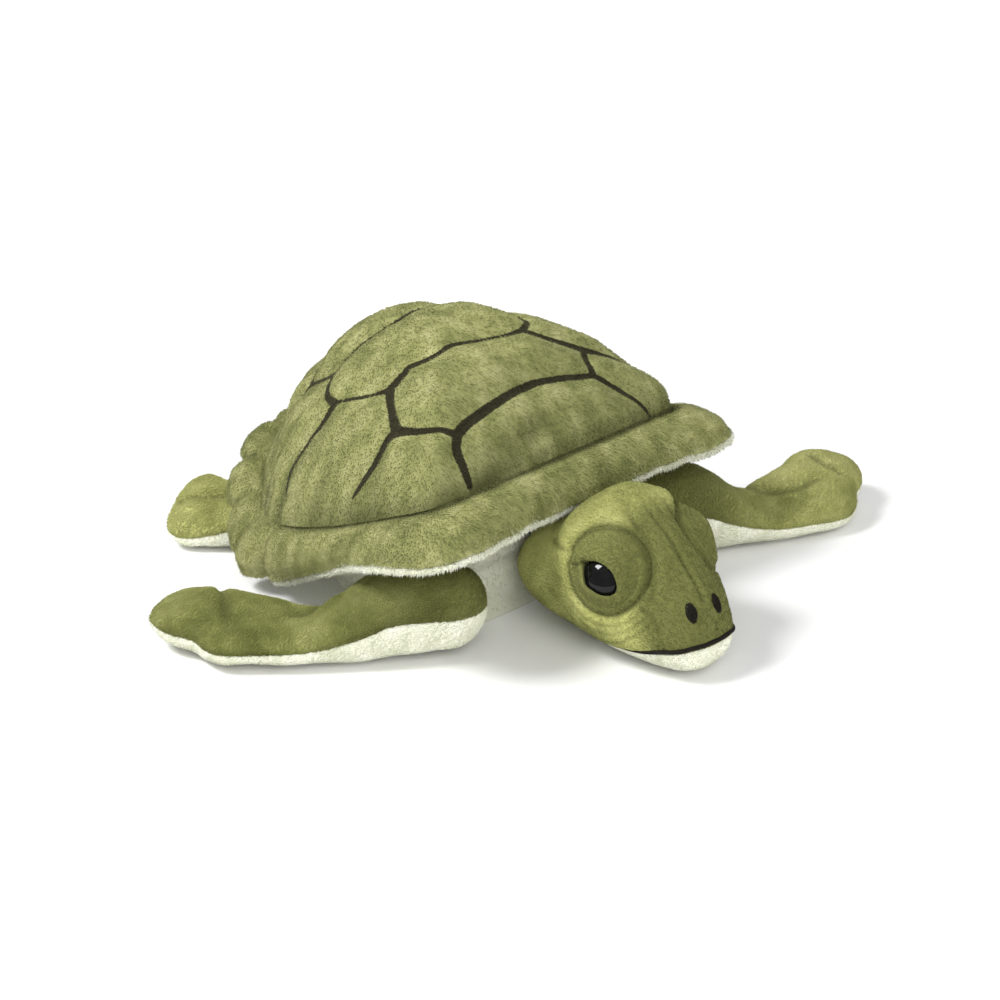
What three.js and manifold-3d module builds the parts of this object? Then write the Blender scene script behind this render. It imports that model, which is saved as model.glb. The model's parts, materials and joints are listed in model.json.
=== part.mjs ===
// Plush sea turtle lying on its belly: a stuffed shell with a free fabric rim, a stuffed head
// that turns and nods on a short neck, two front flippers that sweep and lift, and two rear
// flippers that lift. Millimetres, +Z up, the nose towards -Y, the turtle's left side towards +X.
// The origin lies on the flat underside of the belly.
import * as THREE from 'three';
import { mergeVertices } from 'three/addons/utils/BufferGeometryUtils.js';
import Module from 'manifold-3d';

const wasm = await Module();
wasm.setup();

// Fabric and fits
const clothThickness = 1.6;
const seamGap = 0.3;
const stuffingGap = 0.6;
const socketGap = 0.3;
const cutOverrun = 1;
const seamOverrun = 5;

// Shell dome: its base loop, its crown and how full its front and rear are
const domeHalfWidth = 73;
const domeHalfLength = 70;
const domeCentreY = 28;
const domeFrontHeight = 64;
const domeCrownHeight = 104;
const domeCrownY = 24;
const domeFrontFullnessShare = 0.7;
const domeRearFullnessShare = 0.72;
// Right half of the base loop, front middle to rear: across, along and height
const domeBaseShares = [
  [0, -0.993, 1],
  [0.34, -0.993, 1],
  [0.66, -0.97, 0.985],
  [0.9, -0.91, 0.95],
  [0.985, -0.7, 0.86],
  [1, -0.4, 0.72],
  [1, -0.086, 0.594],
  [0.945, 0.229, 0.492],
  [0.822, 0.486, 0.438],
  [0.644, 0.686, 0.461],
  [0.411, 0.871, 0.531],
  [0.137, 0.971, 0.586],
];
const domeRingShares = [1, 0.965, 0.9, 0.82, 0.73, 0.63, 0.52, 0.4, 0.27, 0.13];
// Steps of every loop round the shell, for each point of its base
const baseStepsPerPoint = 3;

// Lines between the scutes: each point as a share of the way round the base loop, from its
// front over the right, and a share of the way from the crown down to the base
const scuteLineShares = [
  [[0.1, 0.82], [0.059, 0.76], [0.014, 0.73], [0.97, 0.75], [0.933, 0.8]],
  [[0.1, 0.82], [0.102, 0.86], [0.097, 0.94]],
  [[0.1, 0.82], [0.129, 0.77], [0.164, 0.77], [0.186, 0.77]],
  [[0.186, 0.77], [0.208, 0.89], [0.22, 0.96]],
  [[0.186, 0.77], [0.207, 0.67], [0.22, 0.59]],
  [[0.22, 0.59], [0.207, 0.51], [0.187, 0.44], [0.102, 0.34], [0.039, 0.35], [0.979, 0.39], [0.926, 0.41]],
  [[0.22, 0.59], [0.249, 0.63], [0.295, 0.69]],
  [[0.295, 0.69], [0.307, 0.83], [0.306, 0.94]],
  [[0.295, 0.69], [0.332, 0.67], [0.354, 0.61], [0.378, 0.35], [0.441, 0.2], [0.577, 0.19], [0.703, 0.46]],
  [[0.354, 0.61], [0.387, 0.69], [0.406, 0.75]],
  [[0.933, 0.8], [0.921, 0.73], [0.902, 0.66]],
  [[0.902, 0.66], [0.913, 0.55], [0.926, 0.41]],
  [[0.933, 0.8], [0.926, 0.89], [0.919, 0.96]],
  [[0.902, 0.66], [0.881, 0.75], [0.854, 0.86], [0.837, 0.96]],
  [[0.926, 0.41], [0.806, 0.33], [0.703, 0.46]],
  [[0.703, 0.46], [0.72, 0.62], [0.731, 0.76], [0.74, 0.9]],
  [[0.703, 0.46], [0.664, 0.54], [0.624, 0.64], [0.594, 0.75]],
  [[0.406, 0.75], [0.447, 0.7], [0.5, 0.67], [0.553, 0.7], [0.594, 0.75]],
  [[0.406, 0.75], [0.407, 0.86], [0.41, 0.94]],
  [[0.594, 0.75], [0.593, 0.86], [0.59, 0.94]],
  [[0.5, 0.67], [0.5, 0.82], [0.5, 0.94]],
];
const scuteLineSteps = 5;
// Depth of the dip along each line, its reach to either side, and where it fades at the base
const scuteDepth = 2.2;
const scuteReach = 12;
const scuteFadeShare = 0.08;

// Free rim sewn round the dome: how far each point spreads outwards and drops
const rimWidth = 18;
const rimSpreadShares = [0.64, 0.68, 0.9, 1.2, 0.95, 0.5, 0.35, 0.33, 0.5, 0.62, 0.7, 0.72];
const rimDropShares = [0.78, 0.72, 0.6, 0.48, 0.56, 0.72, 0.97, 1.2, 1.05, 0.58, 0.14, 0.02];
const rimClothThickness = 1.8;
const rimLiningThickness = 1.3;
// Rear scallops: from this base point backwards each stretch of rim bulges out
const scallopDepth = 4.5;
const firstScallopPoint = 7;

// Belly: the floor outline shares of the dome's base loop
const bellyWidthShare = 0.67;
const bellyFrontShare = 0.73;
const bellyRearShare = 0.65;
const bellyDrawInShare = 2.5;
const bellyRingShares = [0, 0.14, 0.36, 0.7];
const bellyCentreY = 10;

// Bag of pellets that weighs the belly down
const pouchHalfWidth = 22;
const pouchHalfLength = 30;
const pouchHeight = 13;
const pouchY = 16;

// Neck and head. The head is drawn straight ahead of the neck's centre, then turned
const neckY = -42;
const neckHeight = 28;
const neckRadius = 15;
const neckOpeningRadius = 8;
const headTurnDegrees = 6;
const headLength = 75;
const headHalfWidth = 25;
const headCrownHeight = 60;
const chinClearance = 0.4;
// Sections from the back to the nose: distance, half width, top, bottom and middle as shares
const headSectionShares = [
  [-0.1, 0.74, 0.58, 0.2, 0.41],
  [-0.02, 0.94, 0.67, 0.1, 0.42],
  [0.11, 1.06, 0.75, 0.045, 0.43],
  [0.24, 1.08, 0.905, 0.02, 0.45],
  [0.37, 1.1, 1, 0.01, 0.46],
  [0.5, 1.1, 0.97, 0.005, 0.43],
  [0.62, 1.04, 0.85, 0, 0.4],
  [0.74, 0.92, 0.72, 0, 0.34],
  [0.84, 0.77, 0.61, 0.015, 0.29],
  [0.92, 0.64, 0.5, 0.045, 0.25],
  [0.97, 0.48, 0.4, 0.085, 0.23],
  [1, 0.2, 0.29, 0.15, 0.21],
];
const headAround = 16;

// Chin panel under the muzzle: the mouth's seam rises from its rear to the nose
const chinRearShare = 0.22;
const chinRearHeight = 2;
const chinFrontHeight = 13.5;

// Eyes, their stitched fabric discs, and the washers that lock them behind the cloth. The
// eyes' distance is a share of the head's length
const eyeDistanceShare = 0.54;
const eyeHeight = 37;
const eyeDiameter = 15;
const eyeStandOff = 0.6;
const eyeDomeHeight = 4.2;
const eyeDomeSteps = 4;
const eyeShankDiameter = 4;
const eyeShankLength = 11;
const eyeWasherDiameter = 11;
const eyeWasherThickness = 1.6;
const eyeWasherDepth = 5;
const eyePatchDiameter = 31;
const eyePatchThickness = 1.2;
const eyeForwardDegrees = 12;
const eyeUpDegrees = 12;

// Embroidered nostrils, set back from the nose, and mouth
const nostrilSetback = 7;
const nostrilSpacing = 12;
const nostrilHeight = 26;
const nostrilDepth = 12;
const nostrilLength = 6;
const nostrilWidth = 3.6;
const threadThickness = 0.6;
const mouthWidth = 1.3;
const mouthClearance = 0.3;
const mouthRearShare = 0.6;

// Front flippers: the same limb on both sides, posed at its own sweep
const shoulderX = 57;
const shoulderY = -31.5;
const shoulderHeight = 18.5;
const shoulderRadius = 15.5;
const wadRadius = 9;
const frontLength = 107;
const frontHalfWidth = 16;
const frontBendDegrees = 20;
const frontTipShare = 0.7;
const leftSweepDegrees = 16;
const leftTipBendDegrees = 44;
const leftTipLift = 3;
const leftRollDegrees = 13;
const rightSweepDegrees = -51;
const rightTipBendDegrees = 0;
const rightTipLift = 1;
const rightRollDegrees = 3;
// Stations from root to tip: distance, leading and trailing half widths, seam height,
// thickness above and below the seam, as shares of the length, half width and shoulder height
const frontStationShares = [
  [0.03, 0.88, 0.88, 1, 0.82, 0.82],
  [0.16, 1, 0.86, 1, 0.88, 0.94],
  [0.26, 1.05, 0.76, 0.78, 0.82, 0.76],
  [0.36, 1.1, 0.72, 0.59, 0.52, 0.57],
  [0.46, 1.2, 0.78, 0.49, 0.34, 0.47],
  [0.58, 1.28, 0.92, 0.46, 0.46, 0.44],
  [0.71, 1.4, 1.06, 0.46, 0.54, 0.44],
  [0.77, 1.22, 1.12, 0.46, 0.56, 0.44],
  [0.83, 0.86, 1.12, 0.48, 0.54, 0.45],
  [0.9, 0.78, 0.98, 0.51, 0.46, 0.42],
  [0.96, 0.58, 0.7, 0.54, 0.3, 0.3],
  [1, 0.28, 0.3, 0.54, 0.12, 0.12],
];

// Rear flippers
const hipX = 28.5;
const hipY = 72.5;
const hipHeight = 15;
const hipRadius = 13;
const rearLength = 53.5;
const rearHalfWidth = 17;
const rearBendDegrees = 8;
const rearSweepDegrees = -58;
const rearTipLift = 2;
const rearRollDegrees = 17;
const rearStationShares = [
  [0.03, 0.68, 0.68, 1, 0.8, 0.82],
  [0.25, 0.68, 0.7, 1, 0.72, 0.9],
  [0.43, 0.76, 0.88, 0.8, 0.54, 0.76],
  [0.62, 0.9, 1.14, 0.64, 0.5, 0.6],
  [0.82, 1, 1.34, 0.6, 0.5, 0.54],
  [0.94, 0.86, 1.1, 0.62, 0.34, 0.38],
  [1, 0.5, 0.55, 0.64, 0.13, 0.14],
];

// Cross-section of a flipper half, leading edge to trailing edge: across and height shares
const flipperArchShares = [
  [-1, 0.26],
  [-0.72, 0.82],
  [0, 1],
  [0.72, 0.82],
  [1, 0.26],
];
const flipperSteps = 24;

// Least half thickness of a flipper's filling near its tip, and the share of a limb's root
// that opens towards the body
const leastFill = 0.4;
const limbOpeningShare = 0.28;

// Sides of the round pieces: the limbs' root balls and the neck, the wads, and the fillings
const jointBallSides = 16;
const wadSides = 14;
const fillSides = 10;
const eyeSides = 12;

// Colours
const plushGreen = 0x7e8444;
const plushCream = 0xdfe2cb;
const threadDark = 0x2b2a1c;
const eyeBlack = 0x0a0a0a;
const fibreWhite = 0xf1f1ee;
const pouchBeige = 0xcfc7ae;
const washerWhite = 0xe4e4e0;

// Points nearer than this count as one
const mergeDistance = 1e-4;

const up = new THREE.Vector3(0, 0, 1);

function radians(degrees) {
  return THREE.MathUtils.degToRad(degrees);
}

function clothMaterial(color) {
  return new THREE.MeshStandardMaterial({ color, roughness: 0.95, metalness: 0 });
}

function plasticMaterial(color) {
  return new THREE.MeshStandardMaterial({ color, roughness: 0.08, metalness: 0 });
}

// Turns a geometry into a solid that can be cut and joined
function solidOf(geometry) {
  const bare = geometry.clone();
  bare.deleteAttribute('normal');
  bare.deleteAttribute('uv');
  const merged = mergeVertices(bare, mergeDistance);
  const mesh = new wasm.Mesh({
    numProp: 3,
    vertProperties: new Float32Array(merged.attributes.position.array),
    triVerts: new Uint32Array(merged.index.array),
  });
  return new wasm.Manifold(mesh);
}

function geometryOf(solid) {
  const mesh = solid.getMesh();
  const geometry = new THREE.BufferGeometry();
  geometry.setAttribute('position', new THREE.BufferAttribute(new Float32Array(mesh.vertProperties), 3));
  geometry.setIndex(new THREE.BufferAttribute(new Uint32Array(mesh.triVerts), 1));
  return geometry;
}

// The cut cover itself, without slivers that the cuts leave loose
function mainPiece(solid) {
  const pieces = solid.decompose();
  return pieces.reduce((largest, piece) => (piece.volume() > largest.volume() ? piece : largest));
}

function signedVolume(points, triangles) {
  let volume = 0;
  for (const [a, b, c] of triangles) {
    volume += points[a].dot(new THREE.Vector3().crossVectors(points[b], points[c])) / 6;
  }
  return volume;
}

// Closed geometry from points and triangles, turned so that its faces point outwards
function closedGeometry(points, triangles) {
  const outwards = signedVolume(points, triangles) > 0;
  const positions = points.flatMap((point) => point.toArray());
  const indices = triangles.flatMap(([a, b, c]) => (outwards ? [a, b, c] : [a, c, b]));
  const geometry = new THREE.BufferGeometry();
  geometry.setAttribute('position', new THREE.Float32BufferAttribute(positions, 3));
  geometry.setIndex(indices);
  return geometry;
}

// Closed form through sections of equal point counts; each end closes to a centre point
function loft(sections, startCentre, endCentre) {
  const around = sections[0].length;
  const points = sections.flat();
  const triangles = [];
  for (let ring = 0; ring < sections.length - 1; ring += 1) {
    for (let step = 0; step < around; step += 1) {
      const next = (step + 1) % around;
      const a = ring * around + step;
      const b = ring * around + next;
      triangles.push([a, b, a + around], [b, b + around, a + around]);
    }
  }
  const start = points.push(startCentre ?? middleOf(sections[0])) - 1;
  const end = points.push(endCentre ?? middleOf(sections[sections.length - 1])) - 1;
  const lastRing = (sections.length - 1) * around;
  for (let step = 0; step < around; step += 1) {
    const next = (step + 1) % around;
    triangles.push([next, step, start], [lastRing + step, lastRing + next, end]);
  }
  return closedGeometry(points, triangles);
}

// Closed band through four loops of points: the upper face's sewn and free edges, then the
// lower face's free and sewn edges. Both faces fold along the same diagonals
function band(loops) {
  const around = loops[0].length;
  const points = loops.flat();
  const triangles = [];
  for (let loop = 0; loop < loops.length; loop += 1) {
    const nextLoop = (loop + 1) % loops.length;
    for (let step = 0; step < around; step += 1) {
      const next = (step + 1) % around;
      const a = loop * around + step;
      const b = loop * around + next;
      const c = nextLoop * around + step;
      const d = nextLoop * around + next;
      triangles.push(...(loop < 2 ? [[a, b, c], [b, d, c]] : [[a, b, d], [a, d, c]]));
    }
  }
  return closedGeometry(points, triangles);
}

function middleOf(section) {
  const middle = new THREE.Vector3();
  for (const point of section) {
    middle.add(point);
  }
  return middle.divideScalar(section.length);
}

function ballAt(centre, radius, sides) {
  const geometry = new THREE.SphereGeometry(radius, sides, sides / 2);
  geometry.rotateX(Math.PI / 2);
  geometry.translate(centre.x, centre.y, centre.z);
  return solidOf(geometry);
}

// Ball-shaped room in which a ball of so many sides can turn any way with its clearance
function roomAt(centre, radius, sides) {
  return ballAt(centre, (radius + socketGap) / Math.cos(Math.PI / sides) ** 2, sides);
}

// Half a ball, flat face through its centre, round side up (side 1) or down (side -1)
function halfBallAt(centre, radius, side) {
  const profile = [new THREE.Vector2(0, 0)];
  const steps = Math.round(jointBallSides / 4);
  for (let step = 0; step <= steps; step += 1) {
    const angle = (step / steps) * (Math.PI / 2);
    profile.push(new THREE.Vector2(radius * Math.cos(angle), radius * Math.sin(angle)));
  }
  profile[profile.length - 1].x = 0;
  const geometry = new THREE.LatheGeometry(profile, jointBallSides);
  geometry.rotateX(side > 0 ? Math.PI / 2 : -Math.PI / 2);
  geometry.translate(centre.x, centre.y, centre.z);
  return solidOf(geometry);
}

// Smooth closed loop through a table for one half, mirrored for the other
function mirroredCurve(halfPoints) {
  const rearward = halfPoints.slice(1).reverse();
  const mirrored = rearward.map((point) => new THREE.Vector3(-point.x, point.y, point.z));
  return new THREE.CatmullRomCurve3([...halfPoints, ...mirrored], true);
}

function curvePoints(curve, count) {
  const points = [];
  for (let step = 0; step < count; step += 1) {
    points.push(curve.getPoint(step / count));
  }
  return points;
}

// Level outward direction of a loop at each of its points
function outwardsOf(points) {
  return points.map((point, index) => {
    const before = points[(index + points.length - 1) % points.length];
    const after = points[(index + 1) % points.length];
    const along = after.clone().sub(before).setZ(0).normalize();
    const outward = new THREE.Vector3(along.y, -along.x, 0);
    const fromCentre = point.clone().sub(new THREE.Vector3(0, domeCentreY, 0));
    return outward.dot(fromCentre) < 0 ? outward.negate() : outward;
  });
}

const domeBaseHalf = domeBaseShares.map(([across, along, height]) => {
  const y = domeCentreY + along * domeHalfLength;
  return new THREE.Vector3(-across * domeHalfWidth, y, height * domeFrontHeight);
});
const domeBaseCurve = mirroredCurve(domeBaseHalf);
const basePointCount = domeBaseHalf.length * 2 - 1;
const loopPointCount = basePointCount * baseStepsPerPoint;
const domeBase = curvePoints(domeBaseCurve, loopPointCount);
const domeOutwards = outwardsOf(domeBase);

function insetLoop(points, outwards, inset) {
  return points.map((point, index) => point.clone().addScaledVector(outwards[index], -inset));
}

function crownPoint(inset) {
  return new THREE.Vector3(0, domeCrownY, domeCrownHeight - inset);
}

// Point of the smooth dome at a share of the way from its crown down to a point of its base
function domePoint(base, crown, share) {
  const frontY = domeCentreY - domeHalfLength;
  const rearward = (base.y - frontY) / (2 * domeHalfLength);
  const fullness = THREE.MathUtils.lerp(domeFrontFullnessShare, domeRearFullnessShare, rearward);
  const rise = (1 - share ** 2) ** fullness;
  const x = crown.x + (base.x - crown.x) * share;
  const y = crown.y + (base.y - crown.y) * share;
  return new THREE.Vector3(x, y, base.z + (crown.z - base.z) * rise);
}

// Points along every line between scutes
const scuteLinePoints = scuteLineShares.flatMap((line) => {
  const places = line.map(([aroundShare, crownShare]) =>
    domePoint(domeBaseCurve.getPoint(aroundShare), crownPoint(0), crownShare),
  );
  return new THREE.CatmullRomCurve3(places).getPoints(line.length * scuteLineSteps);
});

// Point of the dome pressed in where it lies beside a line between scutes
function scutePoint(base, crown, share) {
  const point = domePoint(base, crown, share);
  const gap = Math.min(...scuteLinePoints.map((place) => place.distanceTo(point)));
  const fade = Math.min(1, (1 - share) / scuteFadeShare);
  const dip = scuteDepth * fade * (1 - THREE.MathUtils.smoothstep(gap, 0, scuteReach));
  const inward = new THREE.Vector3(0, domeCrownY, base.z).sub(point).normalize();
  return point.addScaledVector(inward, dip);
}

// Rings of the dome from its base loop to just short of its crown
function domeSkin(inset) {
  const base = insetLoop(domeBase, domeOutwards, inset);
  const crown = crownPoint(inset);
  const rings = domeRingShares.map((share) => base.map((point) => scutePoint(point, crown, share)));
  return { crown, rings };
}

// Cover with an outer and an inner skin, open at the base where a level hem joins them
function openCover(outer, inner) {
  const around = outer.rings[0].length;
  const rings = [...outer.rings, ...inner.rings];
  const points = rings.flat();
  const triangles = [];
  const outerCount = outer.rings.length;
  const addStrip = (lower, upper, facesIn) => {
    for (let step = 0; step < around; step += 1) {
      const next = (step + 1) % around;
      const a = lower * around + step;
      const b = lower * around + next;
      const c = upper * around + step;
      const d = upper * around + next;
      triangles.push(...(facesIn ? [[b, a, c], [d, b, c]] : [[a, b, c], [b, d, c]]));
    }
  };
  const addCap = (ring, centre, flip) => {
    const middle = points.push(centre) - 1;
    for (let step = 0; step < around; step += 1) {
      const a = ring * around + step;
      const b = ring * around + ((step + 1) % around);
      triangles.push(flip ? [b, a, middle] : [a, b, middle]);
    }
  };
  for (let ring = 0; ring < outerCount - 1; ring += 1) {
    addStrip(ring, ring + 1, false);
  }
  for (let ring = outerCount; ring < rings.length - 1; ring += 1) {
    addStrip(ring, ring + 1, true);
  }
  addStrip(outerCount, 0, false);
  addCap(outerCount - 1, outer.crown, false);
  addCap(rings.length - 1, inner.crown, true);
  return closedGeometry(points, triangles);
}

function shellDomeGeometry() {
  return openCover(domeSkin(0), domeSkin(clothThickness));
}

// Loops of the rim: its sewn edge beside the dome, its free edge, and the way it faces
function rimLoops() {
  const sewn = domeBase;
  const outwards = domeOutwards;
  const tableCurve = mirroredCurve(
    rimSpreadShares.map((spread, index) => new THREE.Vector3(0, spread, rimDropShares[index])),
  );
  const table = curvePoints(tableCurve, loopPointCount);
  const free = sewn.map((point, index) => {
    const position = index / baseStepsPerPoint;
    const fromFront = Math.min(position, basePointCount - position);
    const withinStretch = position - Math.floor(position);
    const bulge = fromFront < firstScallopPoint ? 0 : scallopDepth * Math.sin(withinStretch * Math.PI);
    const spread = table[index].y * rimWidth + bulge;
    const beside = point.clone().addScaledVector(outwards[index], spread);
    return beside.addScaledVector(up, -table[index].z * rimWidth);
  });
  const facing = free.map((point, index) => {
    const before = free[(index + loopPointCount - 1) % loopPointCount];
    const after = free[(index + 1) % loopPointCount];
    const across = point.clone().sub(sewn[index]);
    const normal = new THREE.Vector3().crossVectors(across, after.clone().sub(before)).normalize();
    return normal.z < 0 ? normal.negate() : normal;
  });
  return { sewn, outwards, free, facing };
}

const rim = rimLoops();

// One layer of the rim, from one depth under its upper face to another
function rimLayer(upperDepth, lowerDepth) {
  const sewnAt = (depth) =>
    rim.sewn.map((point, index) => {
      const beside = point.clone().addScaledVector(rim.outwards[index], seamGap);
      return beside.addScaledVector(up, -depth / rim.facing[index].z);
    });
  const freeAt = (depth) =>
    rim.free.map((point, index) => point.clone().addScaledVector(rim.facing[index], -depth));
  return band([sewnAt(upperDepth), freeAt(upperDepth), freeAt(lowerDepth), sewnAt(lowerDepth)]);
}

function shellRimTopGeometry() {
  return rimLayer(0, rimClothThickness);
}

function shellRimLiningGeometry() {
  const start = rimClothThickness + seamGap;
  return rimLayer(start, start + rimLiningThickness);
}

// Rings of the belly from its sewn edge under the dome down to the flat it rests on
function bellyRings(inset) {
  const sewn = insetLoop(domeBase, domeOutwards, inset);
  const floorOf = (point) => {
    const lengthShare = point.y < bellyCentreY ? bellyFrontShare : bellyRearShare;
    const y = bellyCentreY + (point.y - bellyCentreY) * lengthShare;
    return new THREE.Vector3(point.x * bellyWidthShare, y, inset);
  };
  const rings = bellyRingShares.map((share) =>
    sewn.map((point) => {
      const drawnIn = 1 - (1 - share) ** bellyDrawInShare;
      const floor = floorOf(point);
      const x = point.x + (floor.x - point.x) * drawnIn;
      const y = point.y + (floor.y - point.y) * drawnIn;
      const top = point.z - seamGap;
      return new THREE.Vector3(x, y, floor.z + (top - floor.z) * (1 - share));
    }),
  );
  rings.push(sewn.map(floorOf));
  return rings;
}

function bellySkin(inset) {
  return { rings: bellyRings(inset), crown: new THREE.Vector3(0, bellyCentreY, inset) };
}

function neckCentre() {
  return new THREE.Vector3(0, neckY, neckHeight);
}

function shoulderCentre(side) {
  return new THREE.Vector3(side * shoulderX, shoulderY, shoulderHeight);
}

function hipCentre(side) {
  return new THREE.Vector3(side * hipX, hipY, hipHeight);
}

// Everything that seats in the body, grown by its running clearance
function bodySockets() {
  let sockets = roomAt(neckCentre(), neckRadius, jointBallSides);
  for (const side of [-1, 1]) {
    sockets = sockets.add(roomAt(shoulderCentre(side), shoulderRadius, jointBallSides));
    sockets = sockets.add(roomAt(hipCentre(side), hipRadius, jointBallSides));
  }
  return sockets;
}

const sockets = bodySockets();

function bellyPanelGeometry() {
  return geometryOf(solidOf(openCover(bellySkin(0), bellySkin(clothThickness))).subtract(sockets));
}

function pouchGeometry(growth) {
  const geometry = new THREE.SphereGeometry(1, wadSides, wadSides / 2);
  geometry.rotateX(Math.PI / 2);
  geometry.scale(pouchHalfWidth + growth, pouchHalfLength + growth, pouchHeight / 2 + growth);
  const centreHeight = clothThickness + stuffingGap + pouchHeight / 2 + stuffingGap;
  geometry.translate(0, pouchY, centreHeight);
  return geometry;
}

// Fill of the whole body: the dome above, the belly below, with room for the pellet bag
function bodyStuffingGeometry() {
  const inset = clothThickness + stuffingGap;
  const dome = domeSkin(inset);
  const belly = bellySkin(inset);
  const sections = [...belly.rings.slice(1).reverse(), ...dome.rings];
  const fill = solidOf(loft(sections, belly.crown, dome.crown));
  const hole = solidOf(pouchGeometry(stuffingGap));
  const floorWay = new THREE.BoxGeometry(pouchHalfWidth, pouchHalfLength, pouchHeight);
  floorWay.translate(0, pouchY, 0);
  return geometryOf(fill.subtract(hole).subtract(solidOf(floorWay)).subtract(sockets));
}

// Turns a point drawn ahead of the neck into its place: ahead, to the left, and up
function headPoint(ahead, left, height) {
  const turn = radians(headTurnDegrees);
  const x = left * Math.cos(turn) - ahead * Math.sin(turn);
  const y = neckY - ahead * Math.cos(turn) - left * Math.sin(turn);
  return new THREE.Vector3(x, y, height);
}

// Every second entry of a table, with its first and last
function thinned(table) {
  return table.filter((_, index) => index % 2 === 0 || index === table.length - 1);
}

function headSections(inset) {
  const table = inset > 0 ? thinned(headSectionShares) : headSectionShares;
  return table.map(([ahead, width, top, bottom, middle], index) => {
    const endInset = index === 0 ? inset : index === table.length - 1 ? -inset : 0;
    const halfWidth = width * headHalfWidth - inset;
    const centre = middle * headCrownHeight;
    const rise = top * headCrownHeight - centre - inset;
    const fall = centre - bottom * headCrownHeight - chinClearance - inset;
    const section = [];
    for (let step = 0; step < headAround; step += 1) {
      const angle = ((step + 0.5) / headAround) * 2 * Math.PI;
      const height = centre + (Math.cos(angle) > 0 ? rise : fall) * Math.cos(angle);
      section.push(headPoint(ahead * headLength + endInset, halfWidth * Math.sin(angle), height));
    }
    return section;
  });
}

function headForm(inset) {
  return solidOf(loft(headSections(inset)));
}

// Everything ahead of the mouth's rear between two heights over its seam, the lower one
// left out for everything below
function mouthWedge(rearShare, upper, lower) {
  const rear = rearShare * headLength;
  const front = headLength + 2 * cutOverrun;
  const seamAt = (ahead) => {
    const along = (ahead / headLength - chinRearShare) / (1 - chinRearShare);
    return chinRearHeight + (chinFrontHeight - chinRearHeight) * along;
  };
  const section = (left) => [
    headPoint(rear, left, seamAt(rear) + upper),
    headPoint(front, left, seamAt(front) + upper),
    headPoint(front, left, lower === undefined ? -cutOverrun : seamAt(front) + lower),
    headPoint(rear, left, lower === undefined ? -cutOverrun : seamAt(rear) + lower),
  ];
  return solidOf(loft([section(-2 * headHalfWidth), section(2 * headHalfWidth)]));
}

const headCavity = headForm(clothThickness);
const headWall = headForm(0).subtract(headCavity);

function chinPanelGeometry() {
  return geometryOf(headWall.intersect(mouthWedge(chinRearShare, -seamGap / 2)));
}

function headCoverGeometry() {
  const wall = headWall.subtract(mouthWedge(chinRearShare - seamGap / headLength, seamGap / 2));
  return geometryOf(wall.subtract(neckRoom()).subtract(eyeBores(eyeShankDiameter / 2 + socketGap)));
}

function neckRoom() {
  return roomAt(neckCentre(), neckRadius, jointBallSides);
}

function headStuffingGeometry() {
  const fill = headForm(clothThickness + stuffingGap).subtract(neckRoom());
  return geometryOf(fill.subtract(eyeBores(eyeWasherDiameter / 2 + stuffingGap)));
}

function neckCoverGeometry() {
  const inner = ballAt(neckCentre(), neckRadius - clothThickness, fillSides);
  const wall = ballAt(neckCentre(), neckRadius, jointBallSides).subtract(inner);
  const way = new THREE.CylinderGeometry(neckOpeningRadius, neckOpeningRadius, 3 * neckRadius, fillSides);
  way.translate(0, neckY, neckHeight);
  return geometryOf(wall.subtract(solidOf(way)));
}

function neckStuffingGeometry() {
  return geometryOf(ballAt(neckCentre(), neckRadius - clothThickness - stuffingGap, fillSides));
}

// Level directions of the turned head: ahead and to its left
function headDirections() {
  const turn = radians(headTurnDegrees);
  const ahead = new THREE.Vector3(-Math.sin(turn), -Math.cos(turn), 0);
  const left = new THREE.Vector3(Math.cos(turn), -Math.sin(turn), 0);
  return { ahead, left };
}

// Point where a line from inside the head leaves its cover
function skinPoint(inside, outward) {
  const geometry = geometryOf(headForm(0));
  const material = new THREE.MeshStandardMaterial({ side: THREE.DoubleSide });
  const caster = new THREE.Raycaster(inside, outward);
  const hits = caster.intersectObject(new THREE.Mesh(geometry, material));
  return hits[hits.length - 1].point;
}

// Seat of an eye on the cheek, square to the cheek under the eye's rim
function eyePlace(side) {
  const { ahead, left } = headDirections();
  const level = left.clone().multiplyScalar(side * Math.cos(radians(eyeForwardDegrees)));
  level.addScaledVector(ahead, Math.sin(radians(eyeForwardDegrees)));
  const look = level.multiplyScalar(Math.cos(radians(eyeUpDegrees)));
  look.addScaledVector(up, Math.sin(radians(eyeUpDegrees)));
  const inside = headPoint(eyeDistanceShare * headLength, (side * headHalfWidth) / 2, eyeHeight);
  const across = new THREE.Vector3().crossVectors(up, look).normalize();
  const rimPoint = (turn) => {
    const offset = across.clone().applyAxisAngle(look, turn).multiplyScalar(eyeDiameter / 2);
    return skinPoint(inside.clone().add(offset), look);
  };
  const [first, second, third] = [0, 1, 2].map((step) => rimPoint((step / 3) * 2 * Math.PI));
  const outward = new THREE.Vector3().crossVectors(second.sub(first), third.sub(first)).normalize();
  return { skin: skinPoint(inside, look), outward };
}

const eyePlaces = { left: eyePlace(1), right: eyePlace(-1) };

// Stands a piece drawn along +Z on a point, along a direction
function standOn(geometry, point, direction) {
  geometry.applyQuaternion(new THREE.Quaternion().setFromUnitVectors(up, direction));
  geometry.translate(point.x, point.y, point.z);
  return geometry;
}

function turned(profile, segments) {
  const points = profile.map(([radius, height]) => new THREE.Vector2(radius, height));
  return new THREE.LatheGeometry(points, segments).rotateX(Math.PI / 2);
}

function rod(radius, start, end) {
  return turned([[0, start], [radius, start], [radius, end], [0, end]], eyeSides);
}

function eyeBores(radius) {
  const bores = Object.values(eyePlaces).map(({ skin, outward }) =>
    solidOf(standOn(rod(radius, -eyeShankLength - socketGap, eyeShankLength), skin, outward)),
  );
  return bores[0].add(bores[1]);
}

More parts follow.
